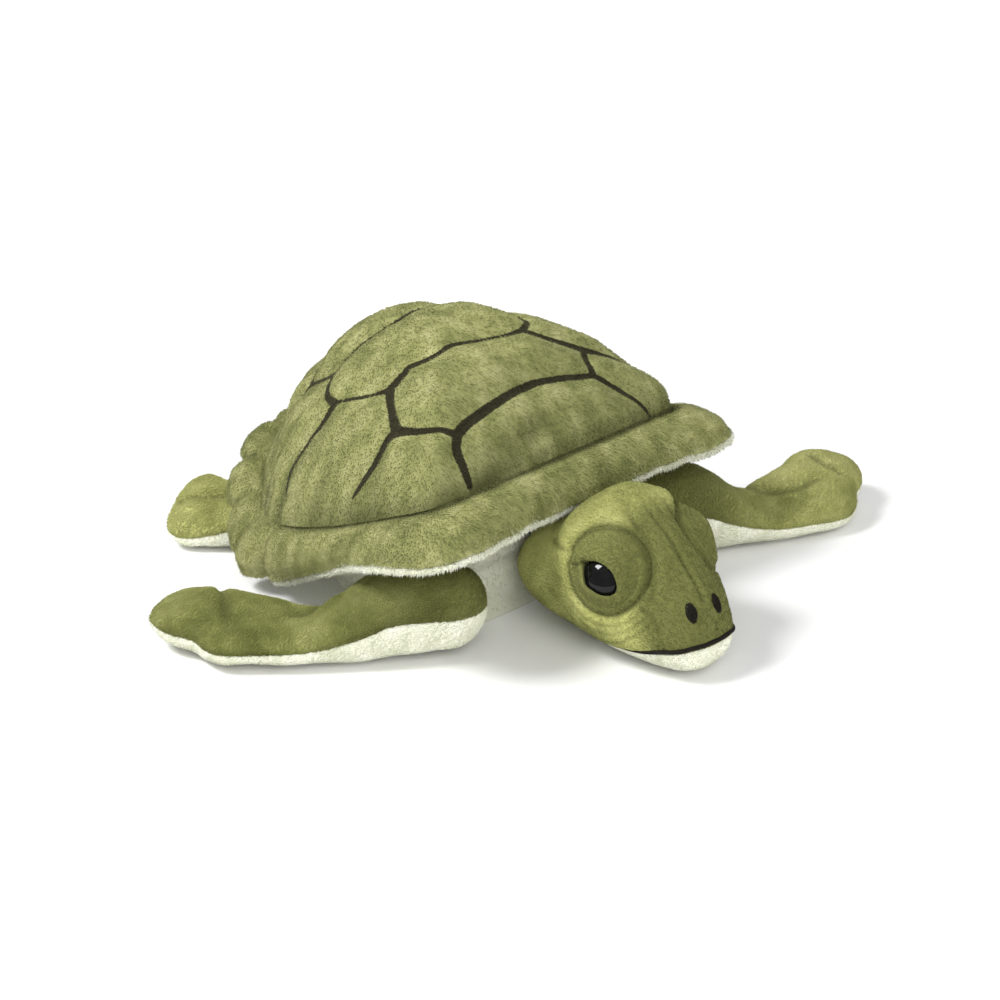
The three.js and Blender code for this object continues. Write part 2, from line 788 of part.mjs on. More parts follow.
// Safety eye: a polished dome on a shank that passes through disc and cover
function eyeGeometry({ skin, outward }) {
  const radius = eyeDiameter / 2;
  const shank = eyeShankDiameter / 2;
  const seat = eyePatchThickness + seamGap + eyeStandOff;
  const profile = [[0, -eyeShankLength], [shank, -eyeShankLength], [shank, seat], [radius, seat]];
  for (let step = 1; step < eyeDomeSteps; step += 1) {
    const angle = (step / eyeDomeSteps) * (Math.PI / 2);
    profile.push([radius * Math.cos(angle), seat + eyeDomeHeight * Math.sin(angle)]);
  }
  profile.push([0, seat + eyeDomeHeight]);
  return standOn(turned(profile, eyeSides), skin, outward);
}

function eyeWasherGeometry({ skin, outward }) {
  const bore = eyeShankDiameter / 2 + socketGap;
  const rimRadius = eyeWasherDiameter / 2;
  const top = -eyeWasherDepth;
  const bottom = top - eyeWasherThickness;
  const profile = [[bore, bottom], [rimRadius, bottom], [rimRadius, top], [bore, top], [bore, bottom]];
  return standOn(turned(profile, eyeSides), skin, outward);
}

// Layer of cloth or thread lying on the head's cover
function headLayer(thickness) {
  return headForm(-seamGap - thickness).subtract(headForm(-seamGap));
}

function eyePatchGeometry({ skin, outward }) {
  const round = rod(eyePatchDiameter / 2, 0, eyePatchDiameter).translate(0, 0, -eyePatchDiameter / 2);
  const bore = rod(eyeShankDiameter / 2 + socketGap, -eyeShankLength, eyeShankLength);
  const disc = headLayer(eyePatchThickness).intersect(solidOf(standOn(round, skin, outward)));
  return geometryOf(disc.subtract(solidOf(standOn(bore, skin, outward))));
}

function nostrilGeometry(side) {
  const { ahead } = headDirections();
  const outward = ahead.clone().addScaledVector(up, 1).normalize();
  const across = (side * nostrilSpacing) / 2;
  const distance = headLength - nostrilSetback - nostrilDepth;
  const inside = headPoint(distance, across, nostrilHeight - nostrilDepth);
  const oval = rod(1, -nostrilDepth, nostrilDepth).scale(nostrilWidth / 2, nostrilLength / 2, 1);
  const skin = skinPoint(inside, outward);
  return geometryOf(headLayer(threadThickness).intersect(solidOf(standOn(oval, skin, outward))));
}

// Stitched mouth: a line of thread on the cover just above the seam
function mouthLineGeometry() {
  const lower = seamGap / 2 + mouthClearance;
  const line = mouthWedge(mouthRearShare, lower + mouthWidth, lower);
  return geometryOf(headLayer(threadThickness).intersect(line));
}

// Direction of a flipper's middle line, counted forwards from straight out to its side
function flipperAngle(limb, share) {
  const pastTip = Math.max(share - frontTipShare, 0) / (1 - frontTipShare);
  const degrees = limb.sweepDegrees + limb.bendDegrees * (1 / 2 - share) - limb.tipBendDegrees * pastTip;
  return radians(degrees);
}

// A point of a flipper's middle line and the level way to its leading edge
function flipperPlace(limb, share) {
  const middle = limb.centre.clone().setZ(0);
  for (let step = 0; step < flipperSteps; step += 1) {
    const angle = flipperAngle(limb, (share * (step + 1 / 2)) / flipperSteps);
    const way = new THREE.Vector3(limb.side * Math.cos(angle), -Math.sin(angle), 0);
    middle.addScaledVector(way, (limb.length * share) / flipperSteps);
  }
  const angle = flipperAngle(limb, share);
  const leading = new THREE.Vector3(-limb.side * Math.sin(angle), -Math.cos(angle), 0);
  return { middle, leading };
}

// Height of a flipper's seam: it sinks and lifts along the limb, and rolls across it
function seamHeightAt(limb, station, across) {
  const [share, , , seamHeight] = station;
  const rootShare = limb.radius / limb.length;
  const pastRoot = Math.max(share - rootShare, 0) / (1 - rootShare);
  const roll = across * pastRoot * Math.tan(radians(limb.rollDegrees));
  return seamHeight * limb.centre.z + limb.tipLift * share ** 2 + roll;
}

// Points of a flipper's arch, leading edge to trailing edge, above (1) or below (-1) its seam
function flipperArch(limb, station, face, inset) {
  const [share, leadWidth, trailWidth, , rise, fall] = station;
  const atTip = share === 1;
  const { middle, leading } = flipperPlace(limb, share - (atTip ? inset / limb.length : 0));
  const depth = Math.max((face > 0 ? rise : fall) * limb.centre.z - inset, limb.least);
  return flipperArchShares.map(([across, height]) => {
    const fullWidth = (across < 0 ? leadWidth : trailWidth) * limb.halfWidth;
    const offset = across * Math.max(fullWidth - inset, limb.least);
    const point = middle.clone().addScaledVector(leading, -offset);
    return { seam: seamHeightAt(limb, station, offset), lift: face * height * depth, point };
  });
}

function archPoints(arch) {
  return arch.map(({ point, seam, lift }) => point.clone().setZ(seam + lift));
}

// Half of a flipper, closed along its seam or a little past it
function flipperHalf(limb, face, inset, pastSeam) {
  const stations = inset > 0 ? thinned(limb.stations) : limb.stations;
  const sections = stations.map((station) => {
    const arch = flipperArch(limb, station, face, inset);
    const closing = [arch[0], arch[arch.length - 1]].map(({ point, seam }) =>
      point.clone().setZ(seam + face * (seamGap / 2 - pastSeam)),
    );
    return [closing[0], ...archPoints(arch), closing[1]];
  });
  return solidOf(loft(sections));
}

function flipperCover(limb, face) {
  const seat = limb.centre.clone().addScaledVector(up, (face * seamGap) / 2);
  const outer = halfBallAt(seat, limb.radius, face).add(flipperHalf(limb, face, 0, 0));
  const room = ballAt(limb.centre, limb.radius - clothThickness, fillSides);
  const cavity = flipperHalf(limb, face, clothThickness, seamOverrun);
  return geometryOf(mainPiece(outer.subtract(room).subtract(cavity).subtract(limbOpening(limb))));
}

// Round way through a limb's root towards the body, where its filling meets the body's
function limbOpening(limb) {
  const radius = limb.radius * limbOpeningShare;
  const way = new THREE.CylinderGeometry(radius, radius, limb.radius, fillSides);
  way.rotateZ(Math.PI / 2);
  way.translate(limb.centre.x - (limb.side * limb.radius) / 2, limb.centre.y, limb.centre.z);
  way.translate(-limb.side * cutOverrun, 0, 0);
  return solidOf(way);
}

function flipperStuffing(limb) {
  const inset = clothThickness + stuffingGap;
  const halves = flipperHalf(limb, 1, inset, seamGap).add(flipperHalf(limb, -1, inset, seamGap));
  const fill = halves.add(ballAt(limb.centre, limb.radius - inset, fillSides));
  if (!limb.wadRadius) {
    return geometryOf(fill);
  }
  const room = roomAt(limb.centre, limb.wadRadius, wadSides);
  return geometryOf(fill.subtract(room).subtract(limbOpening(limb)));
}

function frontLimb(side, pose) {
  return {
    side,
    ...pose,
    centre: shoulderCentre(side),
    radius: shoulderRadius,
    wadRadius,
    length: frontLength,
    halfWidth: frontHalfWidth,
    bendDegrees: frontBendDegrees,
    stations: frontStationShares,
    least: leastFill,
  };
}

function rearLimb(side) {
  return {
    side,
    sweepDegrees: rearSweepDegrees,
    tipBendDegrees: 0,
    tipLift: rearTipLift,
    rollDegrees: rearRollDegrees,
    centre: hipCentre(side),
    radius: hipRadius,
    wadRadius: 0,
    length: rearLength,
    halfWidth: rearHalfWidth,
    bendDegrees: rearBendDegrees,
    stations: rearStationShares,
    least: leastFill,
  };
}

const model = new THREE.Group();

function addPart(name, geometry, material) {
  const mesh = new THREE.Mesh(geometry, material);
  mesh.name = name;
  model.add(mesh);
}

function addFlipper(name, limb) {
  addPart(`${name}_top`, flipperCover(limb, 1), clothMaterial(plushGreen));
  addPart(`${name}_sole`, flipperCover(limb, -1), clothMaterial(plushCream));
  addPart(`${name}_stuffing`, flipperStuffing(limb), clothMaterial(fibreWhite));
}

addPart('shell_dome', shellDomeGeometry(), clothMaterial(plushGreen));
addPart('shell_rim_top', shellRimTopGeometry(), clothMaterial(plushGreen));
addPart('shell_rim_lining', shellRimLiningGeometry(), clothMaterial(plushCream));
addPart('belly_panel', bellyPanelGeometry(), clothMaterial(plushCream));
addPart('body_stuffing', bodyStuffingGeometry(), clothMaterial(fibreWhite));
addPart('pellet_pouch', pouchGeometry(0), clothMaterial(pouchBeige));

addPart('neck_cover', neckCoverGeometry(), clothMaterial(plushCream));
addPart('neck_stuffing', neckStuffingGeometry(), clothMaterial(fibreWhite));

addPart('head_cover', headCoverGeometry(), clothMaterial(plushGreen));
addPart('chin_panel', chinPanelGeometry(), clothMaterial(plushCream));
addPart('head_stuffing', headStuffingGeometry(), clothMaterial(fibreWhite));
addPart('mouth_line', mouthLineGeometry(), clothMaterial(threadDark));
for (const [name, side] of [['left', 1], ['right', -1]]) {
  const place = eyePlaces[name];
  addPart(`eye_${name}`, eyeGeometry(place), plasticMaterial(eyeBlack));
  addPart(`eye_patch_${name}`, eyePatchGeometry(place), clothMaterial(plushGreen));
  addPart(`eye_washer_${name}`, eyeWasherGeometry(place), plasticMaterial(washerWhite));
  addPart(`nostril_${name}`, nostrilGeometry(side), clothMaterial(threadDark));
}

const leftPose = {
  sweepDegrees: leftSweepDegrees,
  tipBendDegrees: leftTipBendDegrees,
  tipLift: leftTipLift,
  rollDegrees: leftRollDegrees,
};
const rightPose = {
  sweepDegrees: rightSweepDegrees,
  tipBendDegrees: rightTipBendDegrees,
  tipLift: rightTipLift,
  rollDegrees: rightRollDegrees,
};
for (const [name, side, pose] of [['left', 1, leftPose], ['right', -1, rightPose]]) {
  addFlipper(`front_flipper_${name}`, frontLimb(side, pose));
  const wad = geometryOf(ballAt(shoulderCentre(side), wadRadius, wadSides));
  addPart(`shoulder_wad_${name}`, wad, clothMaterial(fibreWhite));
  addFlipper(`rear_flipper_${name}`, rearLimb(side));
}

export default model;
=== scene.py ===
import json
import logging
import math
from dataclasses import dataclass, field
from enum import Enum
from typing import Optional, Sequence

import bmesh
import bpy
import numpy as np
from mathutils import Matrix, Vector, noise
from mathutils.bvhtree import BVHTree

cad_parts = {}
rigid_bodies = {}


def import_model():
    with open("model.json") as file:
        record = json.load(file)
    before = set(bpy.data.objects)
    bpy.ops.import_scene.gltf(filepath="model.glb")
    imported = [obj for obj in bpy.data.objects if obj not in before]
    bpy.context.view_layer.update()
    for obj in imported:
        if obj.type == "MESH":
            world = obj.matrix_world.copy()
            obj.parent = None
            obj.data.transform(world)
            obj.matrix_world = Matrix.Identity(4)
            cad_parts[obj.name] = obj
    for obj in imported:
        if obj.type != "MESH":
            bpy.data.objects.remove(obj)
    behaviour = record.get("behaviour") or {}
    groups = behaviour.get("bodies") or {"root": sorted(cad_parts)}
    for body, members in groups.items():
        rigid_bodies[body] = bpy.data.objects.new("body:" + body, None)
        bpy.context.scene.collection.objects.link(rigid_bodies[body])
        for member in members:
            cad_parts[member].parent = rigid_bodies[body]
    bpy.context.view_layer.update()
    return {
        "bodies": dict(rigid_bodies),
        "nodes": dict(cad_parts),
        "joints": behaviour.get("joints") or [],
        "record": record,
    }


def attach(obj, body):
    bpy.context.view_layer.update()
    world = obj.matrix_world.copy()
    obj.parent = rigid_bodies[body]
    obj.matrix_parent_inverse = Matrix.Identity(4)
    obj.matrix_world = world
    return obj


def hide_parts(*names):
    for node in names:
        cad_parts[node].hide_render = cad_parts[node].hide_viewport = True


# Looks of a plush sea turtle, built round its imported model. Every size is in millimetres unless it
# says otherwise, and MM turns it into Blender's metres. The nose points towards -Y, up is +Z, and
# the turtle's left side is towards +X.

LOG = logging.getLogger("turtle")
MM = 0.001
UP = np.array([0.0, 0.0, 1.0])
# How much longer than wide a hair's shading is, and how far cloth keeps off the floor
HAIR_STRETCH = (1.0, 1.0, 2.2)
GROUND_GAP = 0.35

Array = np.ndarray
Colour = tuple[float, float, float]
Socket = bpy.types.NodeSocket


class Side(Enum):
    """Side of the turtle, with its sign along X."""

    LEFT = 1
    RIGHT = -1

    @property
    def word(self) -> str:
        """The side's name as node names spell it."""
        return self.name.lower()


class Face(Enum):
    """Upper or lower half of a flipper."""

    TOP = 1
    SOLE = -1


# Curves, tables and noise


def catmull(points: Array, places: Array, closed: bool) -> Array:
    """Smooth centripetal curve through points.

    Args:
        points: Points or rows of a table, one per row.
        places: Places along the curve, from 0 to 1.
        closed: True for a loop.

    Returns:
        One row for each place.
    """
    count = len(points)
    spans = count if closed else count - 1
    along = np.asarray(places, float) * spans
    index = np.clip(np.floor(along).astype(int), 0, spans - 1)
    weight = (along - index)[:, None]
    if closed:
        p0, p1, p2, p3 = (points[(index + shift) % count] for shift in (-1, 0, 1, 2))
    else:
        first = 2 * points[0] - points[1]
        last = 2 * points[-1] - points[-2]
        padded = np.vstack([first, points, last])
        p0, p1, p2, p3 = (padded[index + shift] for shift in (0, 1, 2, 3))
    spans_around = ((p0, p1), (p1, p2), (p2, p3))
    steps = [np.linalg.norm(b - a, axis=1, keepdims=True) ** 0.5 for a, b in spans_around]
    step0, step1, step2 = (np.maximum(step, 1e-4) for step in steps)
    tangent1 = ((p1 - p0) / step0 - (p2 - p0) / (step0 + step1) + (p2 - p1) / step1) * step1
    tangent2 = ((p2 - p1) / step1 - (p3 - p1) / (step1 + step2) + (p3 - p2) / step2) * step1
    cubic = 2 * p1 - 2 * p2 + tangent1 + tangent2
    square = -3 * p1 + 3 * p2 - 2 * tangent1 - tangent2
    return p1 + tangent1 * weight + square * weight**2 + cubic * weight**3


def mirrored_loop(half: Array) -> Array:
    """The right half of a loop of points with its mirror image added."""
    other = half[1:][::-1] * np.array([-1.0, 1.0, 1.0])
    return np.vstack([half, other])


def smoothstep(low: float, high: float, value: Array) -> Array:
    """0 up to low, 1 from high, smooth between them."""
    share = np.clip((value - low) / (high - low), 0, 1)
    return share * share * (3 - 2 * share)


def bell(value: Array, width: float) -> Array:
    """1 at zero, falling smoothly on both sides to about a third at the width."""
    return np.exp(-((value / width) ** 2))


def circle(count: int) -> Array:
    """Angles of so many points evenly round a circle."""
    return np.arange(count) / count * 2 * math.pi


def from_ends(count: int) -> Array:
    """Steps from each of so many points in a row to the nearer end."""
    return np.minimum(np.arange(count), np.arange(count)[::-1])


def unit(vector: Array) -> Array:
    """The vectors at length one."""
    return vector / np.maximum(np.linalg.norm(vector, axis=-1, keepdims=True), 1e-9)


def noise_at(points: Array, size: Sequence[float], seed: float = 0.0) -> Array:
    """Smooth noise, about -1 to 1.

    Args:
        points: Points in millimetres, in any shape that ends in 3.
        size: Size of the noise's lumps along X, Y and Z, in millimetres.
        seed: Shifts the noise.

    Returns:
        One value for each point.
    """
    flat = (points / np.asarray(size, float)).reshape(-1, 3) + seed
    values = np.fromiter((noise.noise(Vector(point)) for point in flat), float, len(flat))
    return values.reshape(points.shape[:-1])


# Grids of points that become meshes


@dataclass
class Skin:
    """A grid of points, rows by columns, that becomes one cloth piece.

    Attributes:
        points: Rows by columns by 3, in millimetres.
        wraps: True if the last column joins the first.
        start: Point that closes the first row, if any.
        end: Point that closes the last row, if any.
        marks: Named values from 0 to 1, one for each point of the grid.
    """

    points: Array
    wraps: bool = True
    start: Optional[Array] = None
    end: Optional[Array] = None
    marks: dict[str, Array] = field(default_factory=dict)

    def normals(self) -> Array:
        """Outward direction at each point, from its neighbours on the grid."""
        across = self._slope(1)
        along = self._slope(0)
        return unit(np.cross(across, along))

    def _slope(self, axis: int) -> Array:
        points = self.points
        if axis == 1 and self.wraps:
            return np.roll(points, -1, 1) - np.roll(points, 1, 1)
        return np.gradient(points, axis=axis)

    def swell(self, amount: Array) -> None:
        """Moves each point outwards by its own amount, in millimetres."""
        self.points = self.points + self.normals() * amount[..., None]

    def chains(self) -> list[list[int]]:
        """Open edges as chains of point numbers, in the order of the faces beside them."""
        rows, columns = self.points.shape[:2]
        number = np.arange(rows * columns).reshape(rows, columns)
        first, last = number[0].tolist(), number[-1][::-1].tolist()
        if self.wraps:
            first, last = first + first[:1], last[-1:] + last
        found = [chain for chain, pole in ((first, self.start), (last, self.end)) if pole is None]
        if not self.wraps:
            found += [number[::-1, 0].tolist(), number[:, -1].tolist()]
        return found

    def make(self, name: str, thickness: float, coarse: int = 3) -> bpy.types.Object:
        """Makes the skin a closed piece of cloth.

        Args:
            name: The piece's name.
            thickness: The cloth's thickness, laid inwards, in millimetres.
            coarse: The hidden inner face keeps one row and column in so many.

        Returns:
            The new object, in the scene.
        """
        rows, columns = self.points.shape[:2]
        outer = self.points.reshape(-1, 3)
        laid = (self.points - self.normals() * thickness).reshape(-1, 3)
        number = np.arange(rows * columns).reshape(rows, columns)
        kept = number[np.ix_(thinned(rows, coarse, False), thinned(columns, coarse, self.wraps))]
        inner = {int(point): len(outer) + place for place, point in enumerate(kept.ravel())}
        faces = grid_faces(rows, columns, self.wraps).tolist()
        faces += (grid_faces(*kept.shape, self.wraps)[:, ::-1] + len(outer)).tolist()
        for chain in self.chains():
            faces += self._wall(chain, inner)
        points = [outer, laid[kept.ravel()]]
        tips = []
        tip = len(outer) + kept.size
        for pole, row, turn in ((self.start, 0, True), (self.end, -1, False)):
            if pole is None:
                continue
            inwards = unit(outer.mean(0) - outer[number[row]].mean(0))
            points.append(np.array([pole, pole + inwards * thickness]))
            faces += self._fan(number[row].tolist(), tip, turn)
            faces += self._fan([inner[int(point)] for point in kept[row]], tip + 1, not turn)
            if not self.wraps:
                first, last = (0, -1) if turn else (-1, 0)
                ends = [int(number[row, first]), int(number[row, last])]
                faces.append([ends[0], inner[ends[0]], tip + 1, tip])
                faces.append([inner[ends[1]], ends[1], tip, tip + 1])
            tips.append(row)
            tip += 2
        marks = {}
        for word, values in self.marks.items():
            hidden = 0 if word == "pile" else 1
            parts = [values.ravel(), values.ravel()[kept.ravel()] * hidden]
            parts += [np.array([values[row].mean()] * 2) * [1, hidden] for row in tips]
            marks[word] = np.concatenate(parts)
        return mesh_object(name, np.vstack(points), faces, marks)

    def make_ring(self, name: str) -> bpy.types.Object:
        """Makes a piece whose rows go all the way round its own section."""
        rows, columns = self.points.shape[:2]
        number = np.arange(rows * columns).reshape(rows, columns)
        after = np.roll(number, -1, 0)
        faces = np.stack([number, np.roll(number, -1, 1), np.roll(after, -1, 1), after], -1).reshape(-1, 4)
        marks = {word: values.ravel() for word, values in self.marks.items()}
        return mesh_object(name, self.points.reshape(-1, 3), faces.tolist(), marks)

    def _fan(self, ring: list[int], tip: int, turn: bool) -> list[list[int]]:
        """Triangles from a row to its pole."""
        closed = ring + ring[:1] if self.wraps else ring
        return [[b, a, tip] if turn else [a, b, tip] for a, b in zip(closed, closed[1:])]

    @staticmethod
    def _wall(chain: list[int], inner: dict[int, int]) -> list[list[int]]:
        """Faces between an open edge of the outer grid and the coarser inner one."""
        faces = []
        places = [place for place, point in enumerate(chain) if point in inner]
        for begin, finish in zip(places, places[1:]):
            near, far = inner[chain[begin]], inner[chain[finish]]
            middle = (begin + finish) // 2
            for step in range(begin, finish):
                faces.append([chain[step + 1], chain[step], near if step < middle else far])
            faces.append([chain[middle], near, far])
        return faces


def grid_faces(rows: int, columns: int, wraps: bool) -> Array:
    """Corner numbers of a grid's square faces."""
    number = np.arange(rows * columns).reshape(rows, columns)
    right = np.roll(number, -1, 1) if wraps else number[:, 1:]
    left = number if wraps else number[:, :-1]
    return np.stack([left[:-1], right[:-1], right[1:], left[1:]], -1).reshape(-1, 4)


def thinned(count: int, step: int, closed: bool) -> Array:
    """Numbers of the rows or columns that a coarser grid keeps, with both ends."""
    if closed:
        return np.arange(0, count, step)
    return np.unique(np.round(np.linspace(0, count - 1, max(2, (count - 1) // step + 1))).astype(int))


def linked(name: str, data: bpy.types.ID) -> bpy.types.Object:
    """A new object that holds the data, in the scene."""
    made = bpy.data.objects.new(name, data)
    bpy.context.scene.collection.objects.link(made)
    return made


def plain(holder: bpy.types.Object, name: str) -> bpy.types.Object:
    """Swaps an object for a plain mesh piece with its modifiers applied."""
    bpy.context.view_layer.update()
    evaluated = holder.evaluated_get(bpy.context.evaluated_depsgraph_get())
    mesh = bpy.data.meshes.new_from_object(evaluated)
    bpy.data.objects.remove(holder)
    mesh.name = name
    return linked(name, mesh)


def outward_faces(piece: bpy.types.Object) -> bpy.types.Object:
    """Turns a closed piece's faces outwards."""
    form = bmesh.new()
    form.from_mesh(piece.data)
    bmesh.ops.remove_doubles(form, verts=form.verts, dist=1e-7)
    bmesh.ops.recalc_face_normals(form, faces=form.faces)
    form.to_mesh(piece.data)
    form.free()
    return piece


def mesh_object(name: str, points: Array, faces: list,
                marks: Optional[dict[str, Array]] = None) -> bpy.types.Object:
    """A mesh piece from points in millimetres.

    Args:
        name: The piece's name.
        points: One point per row, in millimetres.
        faces: Lists of point numbers.
        marks: Named values, one for each point.

    Returns:
        The new object, in the scene, smooth shaded.
    """
    mesh = bpy.data.meshes.new(name)
    mesh.from_pydata((np.asarray(points) * MM).tolist(), [], faces)
    mesh.validate()
    for word, values in (marks or {}).items():
        attribute = mesh.attributes.new(word, "FLOAT", "POINT")
        attribute.data.foreach_set("value", np.asarray(values, np.float32))
    mesh.polygons.foreach_set("use_smooth", np.ones(len(mesh.polygons), bool))
    mesh.update()
    return linked(name, mesh)


def capped(name: str, grid: Array, first: Array, last: Array) -> bpy.types.Object:
    """A closed form from rings of points.

    Args:
        name: The piece's name.
        grid: Rings by points by 3, in millimetres.
        first: Point that closes the first ring.
        last: Point that closes the last ring.

    Returns:
        The new object, in the scene.
    """
    rows, columns = grid.shape[:2]
    total = rows * columns
    number = np.arange(total).reshape(rows, columns).tolist()
    faces = grid_faces(rows, columns, True).tolist()
    for step in range(columns):
        ahead = (step + 1) % columns
        faces.append([number[0][ahead], number[0][step], total])
        faces.append([number[-1][step], number[-1][ahead], total + 1])
    points = np.vstack([grid.reshape(-1, 3), first, last])
    return outward_faces(mesh_object(name, points, faces))


def tube(path: Array, radius: Array, name: str, inside: Array, sides: int = 10) -> bpy.types.Object:
    """A round thread along a path.

    Args:
        path: Points of its middle line, in millimetres.
        radius: Its radius at each point.
        name: The piece's name.
        inside: A point inside the form on which it lies.
        sides: Sides of its section.

    Returns:
        The closed tube.
    """
    along = unit(np.gradient(path, axis=0))
    out = unit(path - inside)
    out = unit(out - (out * along).sum(1, keepdims=True) * along)
    across = np.cross(along, out)
    turns = circle(sides)[None, :, None]
    ring = np.cos(turns) * out[:, None] + np.sin(turns) * across[:, None]
    return capped(name, path[:, None] + ring * radius[:, None, None], path[0], path[-1])


def ball(middle: Sequence[float], radii: Sequence[float], reach: float, power: float = 1.0) -> Skin:
    """A rounded form with a pole at its bottom and its top.

    Args:
        middle: Its middle.
        radii: Its half width, half length and half height.
        reach: Where its rows end, as a share of a half turn on each side of its middle.
        power: 1 for an ellipsoid, less for flatter faces.

    Returns:
        The form's skin.
    """
    rows = np.linspace(-reach * math.pi, reach * math.pi, 60)[:, None]
    turns = circle(120)[None]
    level = np.cos(rows) ** power
    grid = np.stack([level * np.cos(turns), level * np.sin(turns), np.sin(rows) * np.ones_like(turns)], -1)
    centre, pole = np.array(middle, float), UP * radii[2]
    return Skin(grid * np.array(radii) + centre, start=centre - pole, end=centre + pole)


def laid(surface: BVHTree, spot: Array, out: Array, reach: float) -> Array:
    """A spot moved along a direction onto a surface.

    Args:
        surface: The surface, in metres.
        spot: The spot, in millimetres.
        out: The direction that leads out of the surface.
        reach: How far outside the spot the search starts.

    Returns:
        The place on the surface, or the spot itself where there is none.
    """
    hit = surface.ray_cast(Vector((spot + out * reach) * MM), Vector(-out))[0]
    return np.array(hit) / MM if hit else spot


@dataclass(frozen=True)
class Stroke:
    """A line on a piece, through listed points.

    Attributes:
        places: Points of the line, each with the line's half width there, in millimetres.
    """

    places: tuple[tuple[float, float, float, float], ...]

    def reach(self, points: Array) -> tuple[Array, Array]:
        """Distance of each point from the line, and the line's half width beside it."""
        rows = np.array(self.places, float)
        length = np.linalg.norm(np.diff(rows[:, :3], axis=0), axis=1).sum()
        fine = catmull(rows, np.linspace(0, 1, max(6, int(length / 1.2))), False)
        best = np.full(points.shape[:-1], 1e9)
        width = np.ones(points.shape[:-1])
        for row in fine:
            gap = np.linalg.norm(points - row[:3], axis=-1)
            nearer = gap < best
            best = np.where(nearer, gap, best)
            width = np.where(nearer, row[3], width)
        return best, width


def nearest(points: Array, strokes: Sequence[Stroke]) -> tuple[Array, Array]:
    """Distance to the nearest of several lines, and how far inside its half width a point lies.

    Args:
        points: Points in millimetres.
        strokes: The lines.

    Returns:
        The distances, and the greatest half width less distance.
    """
    gaps = np.full(points.shape[:-1], 1e9)
    depths = np.full(points.shape[:-1], -1e9)
    for stroke in strokes:
        gap, width = stroke.reach(points)
        gaps = np.minimum(gaps, gap)
        depths = np.maximum(depths, width - gap)
    return gaps, depths


# Materials


class Nodes:
    """A node tree with short calls for the nodes that are used often."""

    def __init__(self, tree: bpy.types.NodeTree) -> None:
        """Empties the tree."""
        self.tree = tree
        tree.nodes.clear()

    def add(self, kind: str, inputs: Optional[dict] = None, **settings: object) -> bpy.types.Node:
        """Adds a node.

        Args:
            kind: The node's type.
            inputs: Links or values by the input's name or number, colours as RGB triples.
            **settings: The node's properties.

        Returns:
            The node.
        """
        node = self.tree.nodes.new(kind)
        for word, value in settings.items():
            setattr(node, word, value)
        for word, value in (inputs or {}).items():
            socket = node.inputs[word]
            if isinstance(value, Socket):
                self.tree.links.new(value, socket)
            else:
                socket.default_value = (*value, 1) if socket.type == "RGBA" else value
        return node

    def math(self, kind: str, first: object, second: object) -> Socket:
        """Sum, product or the like of two values."""
        return self.add("ShaderNodeMath", {0: first, 1: second}, operation=kind).outputs[0]

    def vector(self, kind: str, first: Socket, second: object = None) -> Socket:
        """Sum, projection, length or the like of vectors."""
        inputs = {0: first}
        if second is not None:
            inputs["Scale" if kind == "SCALE" else 1] = second
        node = self.add("ShaderNodeVectorMath", inputs, operation=kind)
        return node.outputs["Value" if kind == "LENGTH" else "Vector"]

    def range(self, source: Socket, low: float, high: float, start: float, end: float) -> Socket:
        """Maps values smoothly from low..high to start..end, and keeps within them."""
        inputs = {"Value": source, "From Min": low, "From Max": high, "To Min": start, "To Max": end}
        return self.add("ShaderNodeMapRange", inputs, interpolation_type="SMOOTHSTEP").outputs["Result"]


